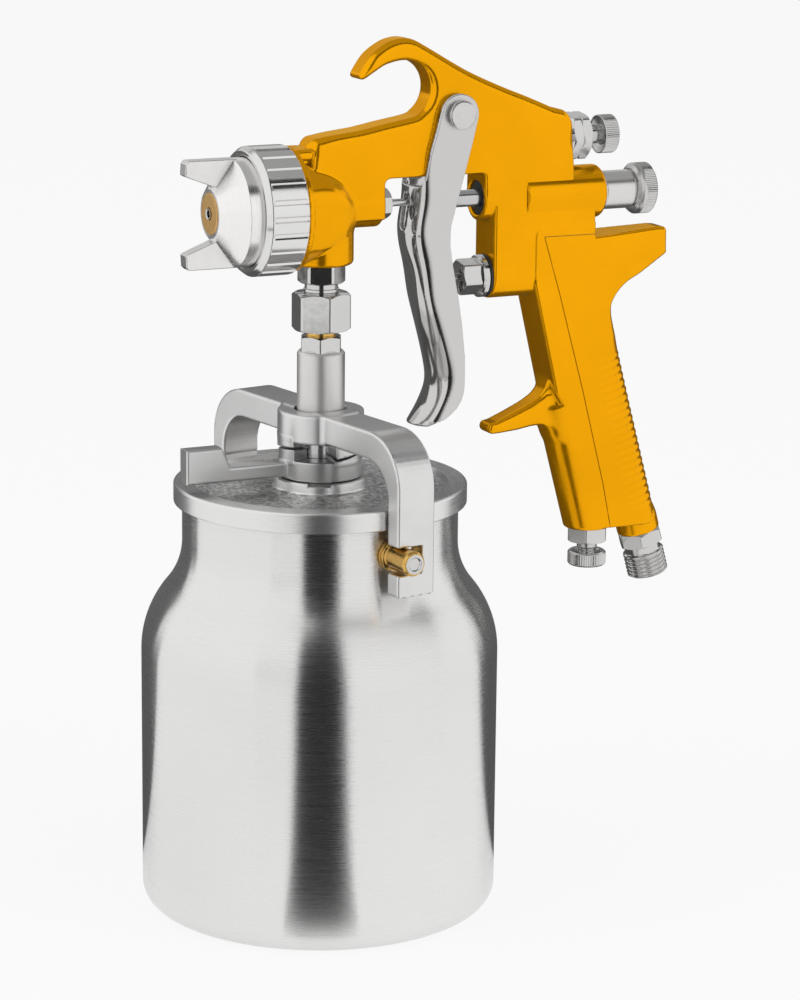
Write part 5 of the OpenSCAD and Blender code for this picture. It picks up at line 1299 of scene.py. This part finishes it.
class SPRAYGUN_OT_stage(Operator):
    """Floor, even light, soft boxes, dark cards and the camera"""
    bl_idname = "spraygun.stage"
    bl_label = "Stage"

    def execute(self, context):
        stage, scene = context.scene.gun_stage, context.scene
        scene.view_settings.view_transform = "Standard"
        world = scene.world or bpy.data.worlds.new("studio")
        scene.world = world
        world.use_nodes = True
        tree = world.node_tree
        tree.nodes.clear()
        out = tree.nodes.new("ShaderNodeOutputWorld")
        back = tree.nodes.new("ShaderNodeBackground")
        level = tree.nodes.new("ShaderNodeMapRange")
        level.inputs["To Min"].default_value = stage.fill
        level.inputs["To Max"].default_value = 1.0
        back.inputs["Color"].default_value = (1, 1, 1, 1)
        tree.links.new(seen_rays(tree), level.inputs["Value"])
        tree.links.new(level.outputs["Result"], back.inputs["Strength"])
        tree.links.new(back.outputs[0], out.inputs["Surface"])

        floor = sheet("floor", [(-9, -9, 0), (9, -9, 0), (9, 9, 0), (-9, 9, 0)])
        n = Nodes("floor")
        n.put(Base_Color=(*stage.floor, 1), Roughness=0.9, Specular_IOR_Level=0.0)
        mix = n.add("ShaderNodeMixShader")
        share = n.add("ShaderNodeMath", operation="MULTIPLY")
        share.inputs[1].default_value = FLOOR_GLOW
        n.link(seen_rays(n.tree), share.inputs[0])
        n.link(share.outputs[0], mix.inputs["Fac"])
        n.link(n.shader.outputs[0], mix.inputs[1])
        n.link(n.add("ShaderNodeEmission").outputs[0], mix.inputs[2])
        n.surface(mix.outputs[0])
        floor.data.materials.append(n.material)

        # The gap between the soft boxes, upright and along the floor
        left, right, far = -12.5, 17.0, 1.7
        card("card_gap", upright(left, right, far, 0, 2.6), stage.dark)
        along = [(left, 0.07, 0.003), (right, 0.07, 0.003), (right, far, 0.003), (left, far, 0.003)]
        card("card_gap_floor", around(along), stage.dark)
        # Behind the gun, a low round wall and its floor
        bearings = np.linspace(124, 236, 7)
        for k, (a, b) in enumerate(zip(bearings[:-1], bearings[1:])):
            card(f"card_back_{k}", upright(a, b, 0.44, 0, 0.285), 0.13)
        edge = [(118, 0.02), (118, 1.5), *((t, 1.5) for t in bearings), (242, 1.5), (242, 0.02)]
        card("card_back_floor", around([(t, d, 0.002) for t, d in edge]), 0.1)
        # Strips along the spray axis, from angle a to b over it, for the casting's rounded edges and tops
        tent_r = 0.3
        for k, (a, b, glow) in enumerate(((43, 63, 0.03), (64, 102, 0.4), (102, 140, 0.4), (140, 170, 0.65))):
            first, last = ((-tent_r * math.cos(t), SPRAY_Z * MM + tent_r * math.sin(t))
                           for t in np.radians((a, b)))
            strip = [(-0.1, *first), (0.5, *first), (0.5, *last), (-0.1, *last)]
            card(f"card_tent_{k}", strip, glow)
        # Small cards for the yoke's top and the union nut's left flat
        card("card_yoke", upright(142, 218, 0.2, HUB_TOP * MM + 0.036, HUB_TOP * MM + 0.064), 0.1)
        union = centre("union_nut")[2] * MM - 0.3 * math.tan(math.radians(VIEW_PITCH))
        card("card_union", upright(-36, -14, 0.3, union - 0.01, union + 0.01), 0.22)

        soft_box("box_left", -58, stage.key)
        soft_box("box_right", 62, stage.key)

        lens = bpy.data.cameras.new("camera")
        lens.sensor_width, lens.lens = 36.0, FOCAL_LENGTH
        lens.clip_start, lens.clip_end = 0.05, 60
        camera = staged("camera", lens)
        a, p, roll = math.radians(VIEW_AZIMUTH), math.radians(VIEW_PITCH), VIEW_ROLL
        ahead = np.array([-math.sin(a) * math.cos(p), math.cos(a) * math.cos(p), -math.sin(p)])
        level_x = np.array([math.cos(a), math.sin(a), 0])
        level_y = np.cross(level_x, ahead)
        x = math.cos(roll) * level_x + math.sin(roll) * level_y
        y = -math.sin(roll) * level_x + math.cos(roll) * level_y
        stand(camera, x, y, -ahead, CAMERA_AT)
        scene.camera = camera
        return {"FINISHED"}


STEPS = (SPRAYGUN_OT_finishes, SPRAYGUN_OT_casting, SPRAYGUN_OT_head, SPRAYGUN_OT_controls,
         SPRAYGUN_OT_trigger, SPRAYGUN_OT_fittings, SPRAYGUN_OT_siphon, SPRAYGUN_OT_clamp,
         SPRAYGUN_OT_lid, SPRAYGUN_OT_cup, SPRAYGUN_OT_inner, SPRAYGUN_OT_stage)
GROUPS = {"gun_paint": GunPaint, "gun_metal": GunMetal, "gun_detail": GunDetail, "gun_stage": GunStage}


class VIEW3D_PT_spraygun(Panel):
    """Sizes, colours and steps of the spray gun"""
    bl_label = "Spray gun"
    bl_space_type = "VIEW_3D"
    bl_region_type = "UI"
    bl_category = "Spray gun"

    def draw(self, context):
        for key, group in GROUPS.items():
            box = self.layout.box()
            for name in group.__annotations__:
                box.prop(getattr(context.scene, key), name)
        for step in STEPS:
            self.layout.operator(step.bl_idname)


CLASSES = (*GROUPS.values(), *STEPS, VIEW3D_PT_spraygun)


def register():
    for cls in CLASSES:
        bpy.utils.register_class(cls)
    for key, group in GROUPS.items():
        setattr(bpy.types.Scene, key, PointerProperty(type=group))


def unregister():
    for key in GROUPS:
        delattr(bpy.types.Scene, key)
    for cls in reversed(CLASSES):
        bpy.utils.unregister_class(cls)


def main():
    register()
    for step in STEPS:
        group, name = step.bl_idname.split(".")
        getattr(getattr(bpy.ops, group), name)()


if __name__ == "__main__":
    main()
